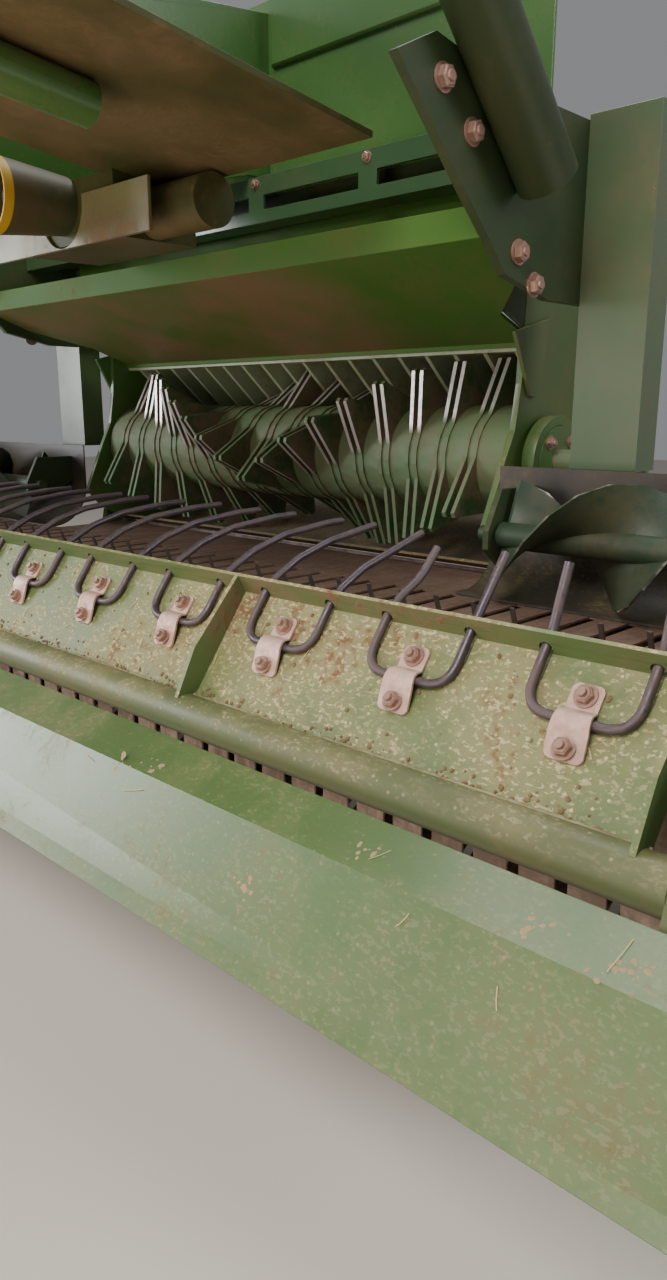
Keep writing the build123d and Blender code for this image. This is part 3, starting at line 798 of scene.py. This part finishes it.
def rods_along(
    name: str, lines: list[list[Vector]], radius: float, swell: list[list[float]] | None = None
) -> bpy.types.Object:
    """Round rods along lines, as one mesh.

    Args:
        name: the piece's name.
        lines: the points of each rod's line.
        radius: of the rods.
        swell: the radius at each point as a share of it, for uneven beads.

    Returns:
        The new object.
    """
    curve = bpy.data.curves.new(name, "CURVE")
    curve.dimensions = "3D"
    curve.bevel_depth = radius
    curve.bevel_resolution = 3
    curve.use_fill_caps = True
    for k, line in enumerate(lines):
        spline = curve.splines.new("POLY")
        spline.points.add(len(line) - 1)
        for i, point in enumerate(line):
            spline.points[i].co = (*point, 1)
            if swell:
                spline.points[i].radius = swell[k][i]
    drawn = bpy.data.objects.new(name + "_line", curve)
    mesh = bpy.data.meshes.new_from_object(drawn)
    bpy.data.objects.remove(drawn)
    mesh.name = name
    mesh.shade_smooth()
    made = bpy.data.objects.new(name, mesh)
    bpy.context.scene.collection.objects.link(made)
    return made


@dataclass
class Bolt:
    """One kind of hexagon bolt with its washer and thread end."""

    across: float
    head: float
    washer: float = 1.25
    washer_t: float = 2.5 * MM
    thread: float = 3 * MM

    def add(self, mesher: Mesher, at: Point, along: Point, turn: float) -> None:
        """Adds one bolt.

        Args:
            mesher: the mesh it goes into.
            at: where its washer sits.
            along: which way its head points.
            turn: how far its head is turned, in radians.
        """
        place = aimed(at, along) @ Matrix.Rotation(turn, 4, "Z")
        radius = self.across / math.sqrt(3)
        mesher.cylinder(place, radius * self.washer, self.washer_t, 24)
        up = place @ Matrix.Translation((0, 0, self.washer_t))
        mesher.cylinder(up, radius, self.head * 0.82, 6)
        up = up @ Matrix.Translation((0, 0, self.head * 0.82))
        mesher.cylinder(up, radius * 0.93, self.head * 0.18, 6, radius * 0.8)
        up = up @ Matrix.Translation((0, 0, self.head * 0.18))
        mesher.cylinder(up, radius * 0.5, self.thread, 12, radius * 0.45)


M16 = Bolt(24 * MM, 10 * MM)
M10 = Bolt(16 * MM, 7 * MM, 1.3, 2 * MM, 4 * MM)
M8 = Bolt(13 * MM, 5.5 * MM, 1.2, 1.6 * MM, 2 * MM)


@dataclass
class Yard:
    """What every sub-assembly needs: the frame, the paintshop and its own luck."""

    frame: dict
    paint: Paintshop
    luck: random.Random

    def paint_nodes(self, finish: Finish, *names: str) -> None:
        """Gives CAD nodes a finish."""
        for name in names:
            self.paint.dress(self.frame["nodes"][name], finish)

    def soften(self, width: float, *names: str) -> None:
        """Breaks the sharp edges of CAD nodes.

        Args:
            width: of the broken edge.
            names: the nodes.
        """
        for name in names:
            node = self.frame["nodes"][name]
            weld = node.modifiers.new("weld", "WELD")
            weld.merge_threshold = WELD_DISTANCE
            bevel = node.modifiers.new("bevel", "BEVEL")
            bevel.width = width
            bevel.segments = 2
            bevel.limit_method = "ANGLE"
            bevel.angle_limit = BEVEL_ANGLE
            bevel.harden_normals = True

    def settle(self, piece: bpy.types.Object, body: str, finish: Finish, slot: Slot) -> bpy.types.Object:
        """Paints a new piece and lets it ride on a body.

        Args:
            piece: the new piece.
            body: the CAD body that carries it.
            finish: its finish.
            slot: the record's material slot; not used.

        Returns:
            The piece.
        """
        self.paint.dress(piece, finish)
        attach(piece, body)
        LOG.info("%s rides on %s", piece.name, body)
        return piece

    def bolts(self, name: str, body: str, kind: Bolt, places: list[tuple[Point, Point]]) -> bpy.types.Object:
        """A set of equal bolts as one piece.

        Args:
            name: the piece's name.
            body: the CAD body that carries it.
            kind: the bolt.
            places: (seat, direction of the head) of each.

        Returns:
            The piece.
        """
        mesher = Mesher()
        for at, along in places:
            kind.add(mesher, at, along, self.luck.uniform(0, math.pi / 3))
        return self.settle(mesher.piece(name), body, BOLT_ZINC, Slot.ZINC)


def sides(places: list[tuple[Point, Point]]) -> list[tuple[Point, Point]]:
    """Places and their mirror images across the machine's middle."""
    other = [((-p[0], p[1], p[2]), (-d[0], d[1], d[2])) for p, d in places]
    return places + other


def round_rotor(radius: float, degrees: float) -> tuple[float, float]:
    """The (Y, Z) place at a radius and an angle from the rotor's axis."""
    angle = math.radians(degrees)
    return (ROTOR_AXIS[0] + radius * math.cos(angle), ROTOR_AXIS[1] + radius * math.sin(angle))


# Sub-assemblies


@dataclass
class FeedChamber:
    """Side plates, floor, scrapers, cross panel with its end plates, and rotor."""

    yard: Yard
    bearing_face: float = 0.646
    bearing_bolt_circle: float = 0.048
    end_plate_x: tuple[float, float] = (0.602, 0.610)
    end_plate: SideView = field(
        default_factory=lambda: [(-0.398, 0.158), (-0.330, 0.130), (-0.330, 0.215), (-0.398, 0.215)]
    )

    def build(self) -> None:
        """Dresses the chamber."""
        y = self.yard
        plates = ("side_plate_right", "side_plate_left", "lip_gussets")
        y.paint_nodes(FRAME_PAINT, *plates, "rotor_bearings")
        y.paint_nodes(UNDER_PAINT, "cross_panel")
        y.paint_nodes(COMB_PAINTED_LIGHT, "scraper_comb")
        y.paint_nodes(FLOOR_PAINT, "feed_floor")
        y.paint_nodes(ROTOR, "rotor")
        y.soften(1.0 * MM, "cross_panel", *plates)
        y.soften(0.7 * MM, "rotor", "scraper_comb")
        places = []
        for k in range(4):
            at = round_rotor(self.bearing_bolt_circle, 45 + 90 * k)
            places.append(((self.bearing_face, *at), (1, 0, 0)))
        y.bolts("bearing_bolts", "chassis", M10, sides(places))
        mesher = Mesher()
        for side in (-1, 1):
            mesher.prism(self.end_plate, *(side * x for x in self.end_plate_x))
        y.settle(mesher.piece("panel_end_plates", False), "chassis", SHADE_PAINT, Slot.PAINT)


@dataclass
class FrontFrame:
    """Posts, stays, cross member, slotted beam and front wall."""

    yard: Yard
    stay_face: float = 0.720
    stay_bolts: SideView = field(
        default_factory=lambda: [(-0.703, 0.389), (-0.641, 0.341), (-0.525, 0.212), (-0.483, 0.173)]
    )
    beam_front: float = -0.490
    beam_bolt_height: float = 0.392
    beam_bolt_x: tuple[float, ...] = (0.135, 0.405, 0.66)

    def build(self) -> None:
        """Dresses the frame and adds its bolts."""
        y = self.yard
        posts = ("frame_post_right", "frame_post_left")
        stays = ("stay_right", "stay_left")
        y.paint_nodes(POST_PAINTED_SHEEN, *posts)
        y.paint_nodes(SHADE_PAINT, *stays, "cross_member")
        y.paint_nodes(WALL_PAINT, "front_wall")
        y.paint_nodes(BEAM_PAINTED_SHADE, "slotted_beam")
        y.soften(1.2 * MM, *posts, *stays, "cross_member", "front_wall", "slotted_beam")
        heads = [((self.stay_face, *at), (1, 0, 0)) for at in self.stay_bolts]
        y.bolts("stay_bolts", "chassis", M16, sides(heads))
        row = [((x, self.beam_front, self.beam_bolt_height), (0, -1, 0)) for x in self.beam_bolt_x]
        y.bolts("beam_bolts", "chassis", M8, sides(row))


@dataclass
class Tongue:
    """Tongue floor and cheeks with the drive below them."""

    yard: Yard

    def build(self) -> None:
        """Dresses the tongue and the drive."""
        y = self.yard
        cheeks = ("tongue_cheek_right", "tongue_cheek_left")
        y.paint_nodes(TONGUE_PAINTED_SHADE, "tongue_floor")
        y.paint_nodes(WALL_PAINT, *cheeks, "tongue_tube")
        y.paint_nodes(TONGUE_PAINTED_SHADE, "gearbox")
        y.paint_nodes(NOTCH_PAINT, "gearbox_guard")
        y.paint_nodes(BELL, "bell_guard")
        y.paint_nodes(DARK_STEEL, "input_shaft")
        y.soften(1.2 * MM, "tongue_floor", *cheeks, "gearbox", "gearbox_guard")


@dataclass
class Pickup:
    """Bands, sides, troughs, arms, reel, cross augers and the lip behind the bands."""

    yard: Yard
    floor_under: float = 0.197
    lip_gap: float = 0.0012
    lip_low: float = 0.2045
    lip_angle: float = 254.6
    lip_turn: float = 0.8
    lip_half: float = 0.611

    def build(self) -> None:
        """Dresses the pickup."""
        y = self.yard
        y.paint_nodes(BAND_STEEL, "stripper_bands")
        plates = ("pickup_side_right", "pickup_side_left", "hinge_arm_right", "hinge_arm_left")
        y.paint_nodes(FRAME_PAINT, *plates)
        y.paint_nodes(TROUGH_PAINTED_SHADE, "auger_trough_right", "auger_trough_left")
        y.paint_nodes(SHADE_PAINT, "auger_arms")
        y.paint_nodes(FLIGHT, "auger_right", "auger_left")
        y.paint_nodes(DARK_STEEL, "reel", "reel_tines")
        y.soften(1.0 * MM, *plates)
        self.build_lip()

    def build_lip(self) -> None:
        """Makes the narrow lip that closes the gap between the pan and the feed floor."""
        mesher = Mesher()
        lip_top = self.floor_under + self.lip_gap
        start, end = self.lip_angle, self.lip_angle + self.lip_turn
        corners = ((self.lip_low, start), (self.lip_low, end), (lip_top, end), (lip_top, start))
        mesher.prism([round_rotor(*corner) for corner in corners], -self.lip_half, self.lip_half)
        self.yard.settle(mesher.piece("pan_lip", False), "pickup", PAN_STEEL, Slot.BANDS)


@dataclass
class CropGuard:
    """Guard plate with tube, tine rods, clamps and apron."""

    yard: Yard
    low: tuple[float, float] = (-1.021, -0.347)
    bend: tuple[float, float] = (-0.933, -0.226)
    half: float = 1.2
    units: int = 6
    rod_r: float = 5.0 * MM
    rod_lift: float = 0.3 * MM
    rod_gap: float = 0.112
    bow_s: float = 0.089
    bow_leg: float = 0.032
    crest: tuple[float, float] = (6 * MM, 17.5 * MM)  # of the rod over the plate's bend
    tip_room: float = 0.012
    corner_r: float = 0.030
    leg_r: float = 0.080
    clamp_half: float = 0.038
    clamp_wide: float = 0.020
    clamp_t: float = 3 * MM
    clamp_taper: float = 0.82
    clamp_bolts: SideView = field(default_factory=lambda: [(0.026, 3.5 * MM), (-0.027, 7.0 * MM)])
    bead_r: float = 2.6 * MM
    bead_step: float = 0.006
    bead_run: Span = (0.16, 0.38)
    bead_gap: Span = (0.02, 0.09)
    bead_swell: Span = (0.75, 1.25)
    reaches: list[tuple[float, float, float, float]] = field(
        default_factory=lambda: [
            (-0.690, -0.690, 0, 0),
            (-0.680, -0.690, 0, 0),
            (-0.695, -0.705, 0, 0),
            (-0.733, -0.769, 0.004, 0.010),
            (-0.849, -0.878, 0.022, 0.039),
            (-0.902, -0.908, 0.054, 0.062),
        ]
    )
    back_line: SideView = field(
        default_factory=lambda: [(-0.878, -0.184), (-0.821, -0.168), (-0.735, -0.159), (-0.626, -0.156)]
    )

    def on_plate(self, x: float, s: float, out: float) -> Vector:
        """A point on the guard plate.

        Args:
            x: across the machine.
            s: up from the plate's lower edge.
            out: away from its outer face.

        Returns:
            The point.
        """
        dy, dz = self.bend[0] - self.low[0], self.bend[1] - self.low[1]
        n = math.hypot(dy, dz)
        dy, dz = dy / n, dz / n
        return Vector((x, self.low[0] + s * dy - out * dz, self.low[1] + s * dz + out * dy))

    def outward(self) -> Point:
        """The direction in which the plate's outer face looks."""
        return tuple(self.on_plate(0, 0, 1) - self.on_plate(0, 0, 0))

    def leg(self, x: float, reach: float, rise: float) -> list[Vector]:
        """One rod leg from the bow over the plate's lip to its tip.

        Args:
            x: across the machine.
            reach: how far back its tip is.
            rise: how much higher its tip is than the others' line.

        Returns:
            The line's corners.
        """
        out = self.rod_r + self.rod_lift
        crest = (self.bend[0] + self.crest[0], self.bend[1] + self.crest[1])
        line = [tuple(self.on_plate(x, self.bow_s + self.bow_leg, out))[1:], crest, *self.back_line]
        cut = [p for p in line if p[0] < reach - self.tip_room]
        after = line[len(cut)] if len(cut) < len(line) else line[-1]
        share = (reach - cut[-1][0]) / (after[0] - cut[-1][0])
        tip = (reach, cut[-1][1] + share * (after[1] - cut[-1][1]) + rise)
        return [Vector((x, *p)) for p in (*cut, tip)]

    def rod(self, x: float, reaches: tuple[float, float, float, float]) -> list[Vector]:
        """The rounded line of one tine rod.

        Args:
            x: the middle of its bow.
            reaches: how far back its inner and outer legs go, and the rise of their tips.

        Returns:
            The line's points.
        """
        half = self.rod_gap / 2
        out = self.rod_r + self.rod_lift
        inner, outer, inner_rise, outer_rise = reaches
        first = self.leg(x - half, inner, inner_rise)[::-1]
        second = self.leg(x + half, outer, outer_rise)
        bow = [self.on_plate(x - half, self.bow_s, out), self.on_plate(x + half, self.bow_s, out)]
        first.pop()
        second.pop(0)
        points = first + bow + second
        radii = [self.leg_r] * (len(first) - 1) + [self.corner_r] * 2 + [self.leg_r] * (len(second) - 1)
        return rounded(points, radii, 8)

    def middles(self) -> list[float]:
        """The middles of the rod units on the right half."""
        return [(i + 0.5) * self.half / self.units for i in range(self.units)]

    def build_rods(self) -> None:
        """Makes the round tine rods."""
        lines = []
        for x, reaches in zip(self.middles(), self.reaches):
            line = self.rod(x, reaches)
            lines += [line, [Vector((-p.x, p.y, p.z)) for p in line]]
        rods = rods_along("tine_rods", lines, self.rod_r)
        self.yard.settle(rods, "crop_guard", ROD_STEEL, Slot.RODS)
        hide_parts("guard_rods")

    def clamp_rows(self) -> list[tuple[float, float, float]]:
        """The clamp's outline: (place along it, height over the plate, half width) rows."""
        top = (2 * self.rod_r + 2 * self.rod_lift) / MM
        end, wide = self.clamp_half / MM, self.clamp_wide / MM
        narrow = wide * self.clamp_taper
        rows = [(-end, 0.3, wide - 6), (-end + 1.5, 0.8, wide - 2.5), (-end + 5, 1.9, wide)]
        arch = [(-12, top - 1.6), (-7, top), (-2, top + 0.6), (3, top + 0.3), (7, top - 2.4)]
        arch += [(9.5, 4), (12, 0.7)]
        for k, (s, out) in enumerate(arch):
            rows.append((s, out, wide + (narrow - wide) * k / (len(arch) - 1)))
        rows += [(end - 5, 0.3, narrow), (end - 1.5, 0.3, narrow - 2.5), (end, 0.3, narrow - 6)]
        return [(s * MM, out * MM, half * MM) for s, out, half in rows]

    def build_clamps(self) -> None:
        """Makes the clamps with their rounded corners over the rods."""
        mesher = Mesher()
        for x, hand in [(x, hand) for x in self.middles() for hand in (1, -1)]:
            loops = []
            for s, out, wide in self.clamp_rows():
                top = out + self.clamp_t
                corners = [(-wide, out), (wide, out), (wide, top), (-wide, top)]
                place = self.bow_s + s
                loops.append([self.on_plate(hand * x + across, place, lift) for across, lift in corners])
            mesher.skin(loops)
        clamps = self.yard.settle(mesher.piece("saddle_clamps"), "crop_guard", ZINC, Slot.ZINC)
        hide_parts("rod_clamps")

    def build_fasteners(self) -> None:
        """Makes the two bolts of each rod clamp."""
        out = self.outward()
        places = []
        for x in self.middles():
            for s, rise in self.clamp_bolts:
                places.append((tuple(self.on_plate(x, self.bow_s + s, rise)), out))
        self.yard.bolts("clamp_bolts", "crop_guard", M10, sides(places))

    def build_welds(self) -> None:
        """Makes the uneven weld beads between the plate and its tube."""
        luck = self.yard.luck
        lines, swell = [], []
        x = -self.half + 0.02
        while x < self.half - 0.1:
            run = luck.uniform(*self.bead_run)
            places = [x + i * self.bead_step for i in range(int(run / self.bead_step))]
            lines.append([self.on_plate(at, MM + luck.uniform(0, 1.5) * MM, 1.5 * MM) for at in places])
            swell.append([luck.uniform(*self.bead_swell) for _ in places])
            x += run + luck.uniform(*self.bead_gap)
        beads = rods_along("weld_beads", lines, self.bead_r, swell)
        self.yard.settle(beads, "crop_guard", WELD, Slot.PAINT)

    def build(self) -> None:
        """Dresses the guard and adds its rods and bolts."""
        y = self.yard
        arms = ("guard_arm_right", "guard_arm_left")
        y.paint_nodes(GUARD_PAINT, "guard_plate")
        y.paint_nodes(TUBE_PAINT, "guard_tube", *arms)
        y.paint_nodes(APRON_PAINT, "apron")
        y.soften(1.0 * MM, "guard_plate", "apron", *arms)
        self.build_rods()
        self.build_clamps()
        self.build_fasteners()
        self.build_welds()


@dataclass
class GaugeWheels:
    """Gauge wheels with ribbed tyres."""

    yard: Yard
    axle: tuple[float, float] = (-0.5, -0.54)
    middle: float = 1.33
    radius: float = 0.2
    width: float = 0.13
    rim_r: float = 0.1053
    groove: float = 0.006
    ribs: int = 4
    sides: int = 72

    def profile(self) -> list[tuple[float, float]]:
        """The tyre's section: (radius, place across) points."""
        half = self.width / 2
        wall = [(self.rim_r, -half * 0.84), (self.rim_r + 0.012, -half), (self.rim_r + 0.03, -half)]
        wall += [(self.radius - 0.04, -half), (self.radius - 0.016, -half * 0.95)]
        tread = []
        reach = half * 0.8
        step = 2 * reach / self.ribs
        for i in range(self.ribs):
            left = -reach + i * step
            tread += [(self.radius, left + 0.003), (self.radius, left + step - 0.006)]
            if i < self.ribs - 1:
                floor = self.radius - self.groove
                tread += [(floor, left + step - 0.004), (floor, left + step)]
        other = [(r, -h) for r, h in wall[::-1]]
        return wall + tread + other

    def build(self) -> None:
        """Makes both tyres and dresses both rims."""
        y = self.yard
        y.paint_nodes(CREAM_PAINT, "rim_right", "rim_left")
        for side, hand in (("right", 1), ("left", -1)):
            mesher = Mesher()
            place = aimed((hand * self.middle, *self.axle), (1, 0, 0))
            mesher.ring(place, self.profile(), self.sides)
            tyre = y.settle(mesher.piece(f"ribbed_tyre_{side}"), f"wheel_{side}", RUBBER, Slot.TYRE)
            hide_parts(f"tyre_{side}")


@dataclass
class Litter:
    """Loose straw, soil crumbs and dried splashes that lie on the guard and the apron."""

    yard: Yard
    guard: CropGuard
    apron: SideView = field(default_factory=lambda: [(-1.07, -0.382), (-1.13, -0.404), (-1.19, -0.505)])
    straws: int = 26
    crumbs: int = 480
    splashes: int = 16
    drops: int = 9
    # spans: x across the machine, s up the guard plate, t down the apron, sizes
    straw_x: Span = (-1.15, 1.15)
    straw_s: Span = (0.004, 0.13)
    straw_long: Span = (0.006, 0.028)
    straw_wide: Span = (0.6, 1.4)
    apron_straw_x: Span = (-1.3, 1.35)
    apron_straw_t: Span = (0.3, 1.8)
    apron_straw_long: Span = (0.008, 0.045)
    apron_straw_wide: Span = (0.6, 1.6)
    crumb_x: Span = (-1.17, 1.17)
    crumb_s: Span = (0.02, 0.142)
    crumb_r: Span = (0.8, 3.6)
    crumb_flat: float = 0.6
    weld_share: float = 0.7  # of the crumbs, which lie along the weld
    weld_spread: Span = (0.004, 0.005)
    splash_x: Span = (-1.2, 1.35)
    splash_t: Span = (0.4, 1.7)
    drop_r: Span = (1.2, 4.5)
    drop_flat: float = 0.14
    drop_spread: Span = (0.009, 0.006)

    def blade(
        self, mesher: Mesher, at: Vector, along: Vector, out: Vector, size: tuple[float, float]
    ) -> None:
        """Adds one blade of straw.

        Args:
            mesher: the mesh it goes into.
            at: its middle.
            along: its direction.
            out: away from what it lies on.
            size: its length and width.
        """
        length, width = size
        luck = self.yard.luck
        across = along.cross(out).normalized() * width / 2
        rows = []
        curl = luck.uniform(-0.06, 0.06) * length
        for i in range(5):
            t = i / 4 - 0.5
            lift = out * (0.8 * MM + luck.uniform(0, 1.0) * MM + width * 0.3)
            middle = at + along * (t * length) + across.normalized() * curl * (4 * t * t) + lift
            rows.append([middle + across, middle - across, middle - out * width * 0.4])
        mesher.skin(rows)

    def on_apron(self, x: float, t: float) -> tuple[Vector, Vector, Vector]:
        """A place on the apron.

        Args:
            x: across the machine.
            t: from its rear edge to its lower edge, 0 to 2, with the fold at 1.

        Returns:
            The point, the way up the sheet and the way out of it.
        """
        k = min(int(t), 1)
        a, b = Vector((x, *self.apron[k])), Vector((x, *self.apron[k + 1]))
        along = (b - a).normalized()
        return a.lerp(b, t - k), along, Vector((0, along.z, -along.y))

    def lump(self, mesher: Mesher, at: Vector, out: Vector, size: float, flat: float) -> None:
        """Adds one lump of soil.

        Args:
            mesher: the mesh it goes into.
            at: where it lies.
            out: away from what it lies on.
            size: its radius.
            flat: its height as a share of that.
        """
        luck = self.yard.luck
        turn = Matrix.Rotation(luck.uniform(0, math.tau), 4, "Z")
        length, width = size * luck.uniform(0.7, 1.3), size * luck.uniform(0.6, 1.0)
        shape = Matrix.Diagonal((length, width, size * flat, 1))
        bmesh.ops.create_icosphere(mesher.bm, subdivisions=1, radius=1, matrix=aimed(at, out) @ turn @ shape)

    def scatter_straw(self) -> None:
        """Lays single straws on the plate and the apron."""
        luck = self.yard.luck
        mesher = Mesher()
        out = Vector(self.guard.outward())
        up = (self.guard.on_plate(0, 1, 0) - self.guard.on_plate(0, 0, 0)).normalized()
        for k in range(2 * self.straws):
            angle = luck.uniform(0, math.pi)
            if k < self.straws:
                at = self.guard.on_plate(luck.uniform(*self.straw_x), luck.uniform(*self.straw_s), 0)
                along = Vector((1, 0, 0)) * math.cos(angle) + up * math.sin(angle)
                size = (luck.uniform(*self.straw_long), luck.uniform(*self.straw_wide) * MM)
                self.blade(mesher, at, along, out, size)
            else:
                place = (luck.uniform(*self.apron_straw_x), luck.uniform(*self.apron_straw_t))
                at, down, off = self.on_apron(*place)
                along = Vector((1, 0, 0)) * math.cos(angle) + down * math.sin(angle)
                size = (luck.uniform(*self.apron_straw_long), luck.uniform(*self.apron_straw_wide) * MM)
                self.blade(mesher, at, along, off, size)
        self.yard.settle(mesher.piece("loose_straw", False), "crop_guard", STRAW, Slot.PAINT)

    def scatter_soil(self) -> None:
        """Drops soil crumbs along the weld."""
        luck = self.yard.luck
        mesher = Mesher()
        out = Vector(self.guard.outward())
        for _ in range(self.crumbs):
            by_weld = luck.random() < self.weld_share
            s = abs(luck.gauss(*self.weld_spread)) + 0.003 if by_weld else luck.uniform(*self.crumb_s)
            at = self.guard.on_plate(luck.uniform(*self.crumb_x), s, 0.4 * MM)
            self.lump(mesher, at, out, luck.uniform(*self.crumb_r) * MM, self.crumb_flat)
        self.yard.settle(mesher.piece("dry_soil", False), "crop_guard", CRUMBS, Slot.PAINT)

    def splash(self) -> None:
        """Leaves flat dried splashes on the apron."""
        luck = self.yard.luck
        mesher = Mesher()
        for _ in range(self.splashes):
            at, down, off = self.on_apron(luck.uniform(*self.splash_x), luck.uniform(*self.splash_t))
            for _ in range(self.drops):
                across, along = self.drop_spread
                near = at + Vector((luck.gauss(0, across), 0, 0)) + down * luck.gauss(0, along)
                self.lump(mesher, near, off, luck.uniform(*self.drop_r) * MM, self.drop_flat)
        self.yard.settle(mesher.piece("dry_splashes", False), "crop_guard", SPLASH, Slot.PAINT)

    def build(self) -> None:
        """Scatters the straw and the soil."""
        self.scatter_straw()
        self.scatter_soil()
        self.splash()


# Stage


WARM: Colour = (1, 0.96, 0.90)
COOL: Colour = (0.95, 0.97, 1)
EARTHY: Colour = (1, 0.86, 0.72)


@dataclass(frozen=True)
class Lamp:
    """A soft square light; its power is in watts and its spread in degrees."""

    name: str
    at: Point
    target: Point
    size: float
    power: float
    tint: Colour
    spread: float = 180

    def hang(self) -> None:
        """Puts the light in the scene."""
        data = bpy.data.lights.new(self.name, "AREA")
        data.spread = math.radians(self.spread)
        data.size = self.size
        data.energy = self.power
        data.color = self.tint
        lamp = bpy.data.objects.new(self.name, data)
        lamp.visible_camera = False
        lamp.location = self.at
        lamp.rotation_euler = (Vector(self.target) - Vector(self.at)).to_track_quat("-Z", "Y").to_euler()
        bpy.context.scene.collection.objects.link(lamp)


LAMPS = (
    Lamp("key", (1.6, -4.2, 3.2), (0.3, -0.9, -0.2), 2.4, 215, WARM),
    Lamp("left", (-3.4, -3.1, 0.7), (0.2, -0.9, -0.3), 1.8, 125, COOL),
    Lamp("right", (3.6, 0.4, 1.6), (0.8, -0.3, 0.1), 1.6, 45, COOL),
    Lamp("overhead", (0.1, -0.3, 2.4), (1.1, -1.1, -0.4), 1.3, 45, COOL),
    Lamp("from_floor", (0.5, -2.3, -0.6), (0.1, -0.5, 0.1), 1.5, 12.5, EARTHY, 130),
)


@dataclass
class Studio:
    """Pale floor, soft lights and the camera at the photograph's angle."""

    floor_z: float = -0.74
    camera_at: Point = (1.492, -1.690, 0.0)
    forward: Point = (-0.6751, 0.6970, -0.2418)
    lens: float = 25.99
    sensor: float = 36.0
    floor_half: float = 12.0
    floor_colour: Colour = (0.60, 0.55, 0.48)
    sky: Colour = (0.88, 0.89, 0.91)
    sky_strength: float = 0.28

    def build_floor(self) -> None:
        """Lays the pale floor."""
        mesher = Mesher()
        bmesh.ops.create_grid(mesher.bm, x_segments=1, y_segments=1, size=self.floor_half)
        floor = mesher.piece("studio_floor", False)
        floor.location = (0, 0, self.floor_z)
        g = Graph("pale_floor")
        floor.data.materials.append(g.surface({"Base Color": (*self.floor_colour, 1), "Roughness": 0.85}))

    def build_lights(self) -> None:
        """Hangs the lights and sets the surroundings."""
        for lamp in LAMPS:
            lamp.hang()
        world = bpy.data.worlds.new("soft_surroundings")
        world.use_nodes = True
        back = world.node_tree.nodes["Background"]
        back.inputs[0].default_value = (*self.sky, 1)
        back.inputs[1].default_value = self.sky_strength
        bpy.context.scene.world = world

    def build_camera(self) -> None:
        """Sets the camera where the photograph was taken."""
        data = bpy.data.cameras.new("photo_view")
        data.sensor_width = self.sensor
        data.lens = self.lens
        data.clip_start = 0.02
        camera = bpy.data.objects.new("photo_view", data)
        camera.location = self.camera_at
        camera.rotation_mode = "QUATERNION"
        camera.rotation_quaternion = Vector(self.forward).to_track_quat("-Z", "Y")
        bpy.context.scene.collection.objects.link(camera)
        bpy.context.scene.camera = camera

    def build(self) -> None:
        """Builds the stage."""
        self.build_floor()
        self.build_lights()
        self.build_camera()


def main() -> None:
    """Loads the frame, builds every sub-assembly and the stage."""
    logging.basicConfig(level=logging.INFO, format="%(message)s")
    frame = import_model()
    yard = Yard(frame, Paintshop(), random.Random(SEED))
    guard = CropGuard(yard)
    for part in (FeedChamber(yard), FrontFrame(yard), Tongue(yard), Pickup(yard), guard, GaugeWheels(yard)):
        LOG.info("%s", type(part).__name__)
        part.build()
    Litter(yard, guard).build()
    Studio().build()


if __name__ == "__main__":
    main()
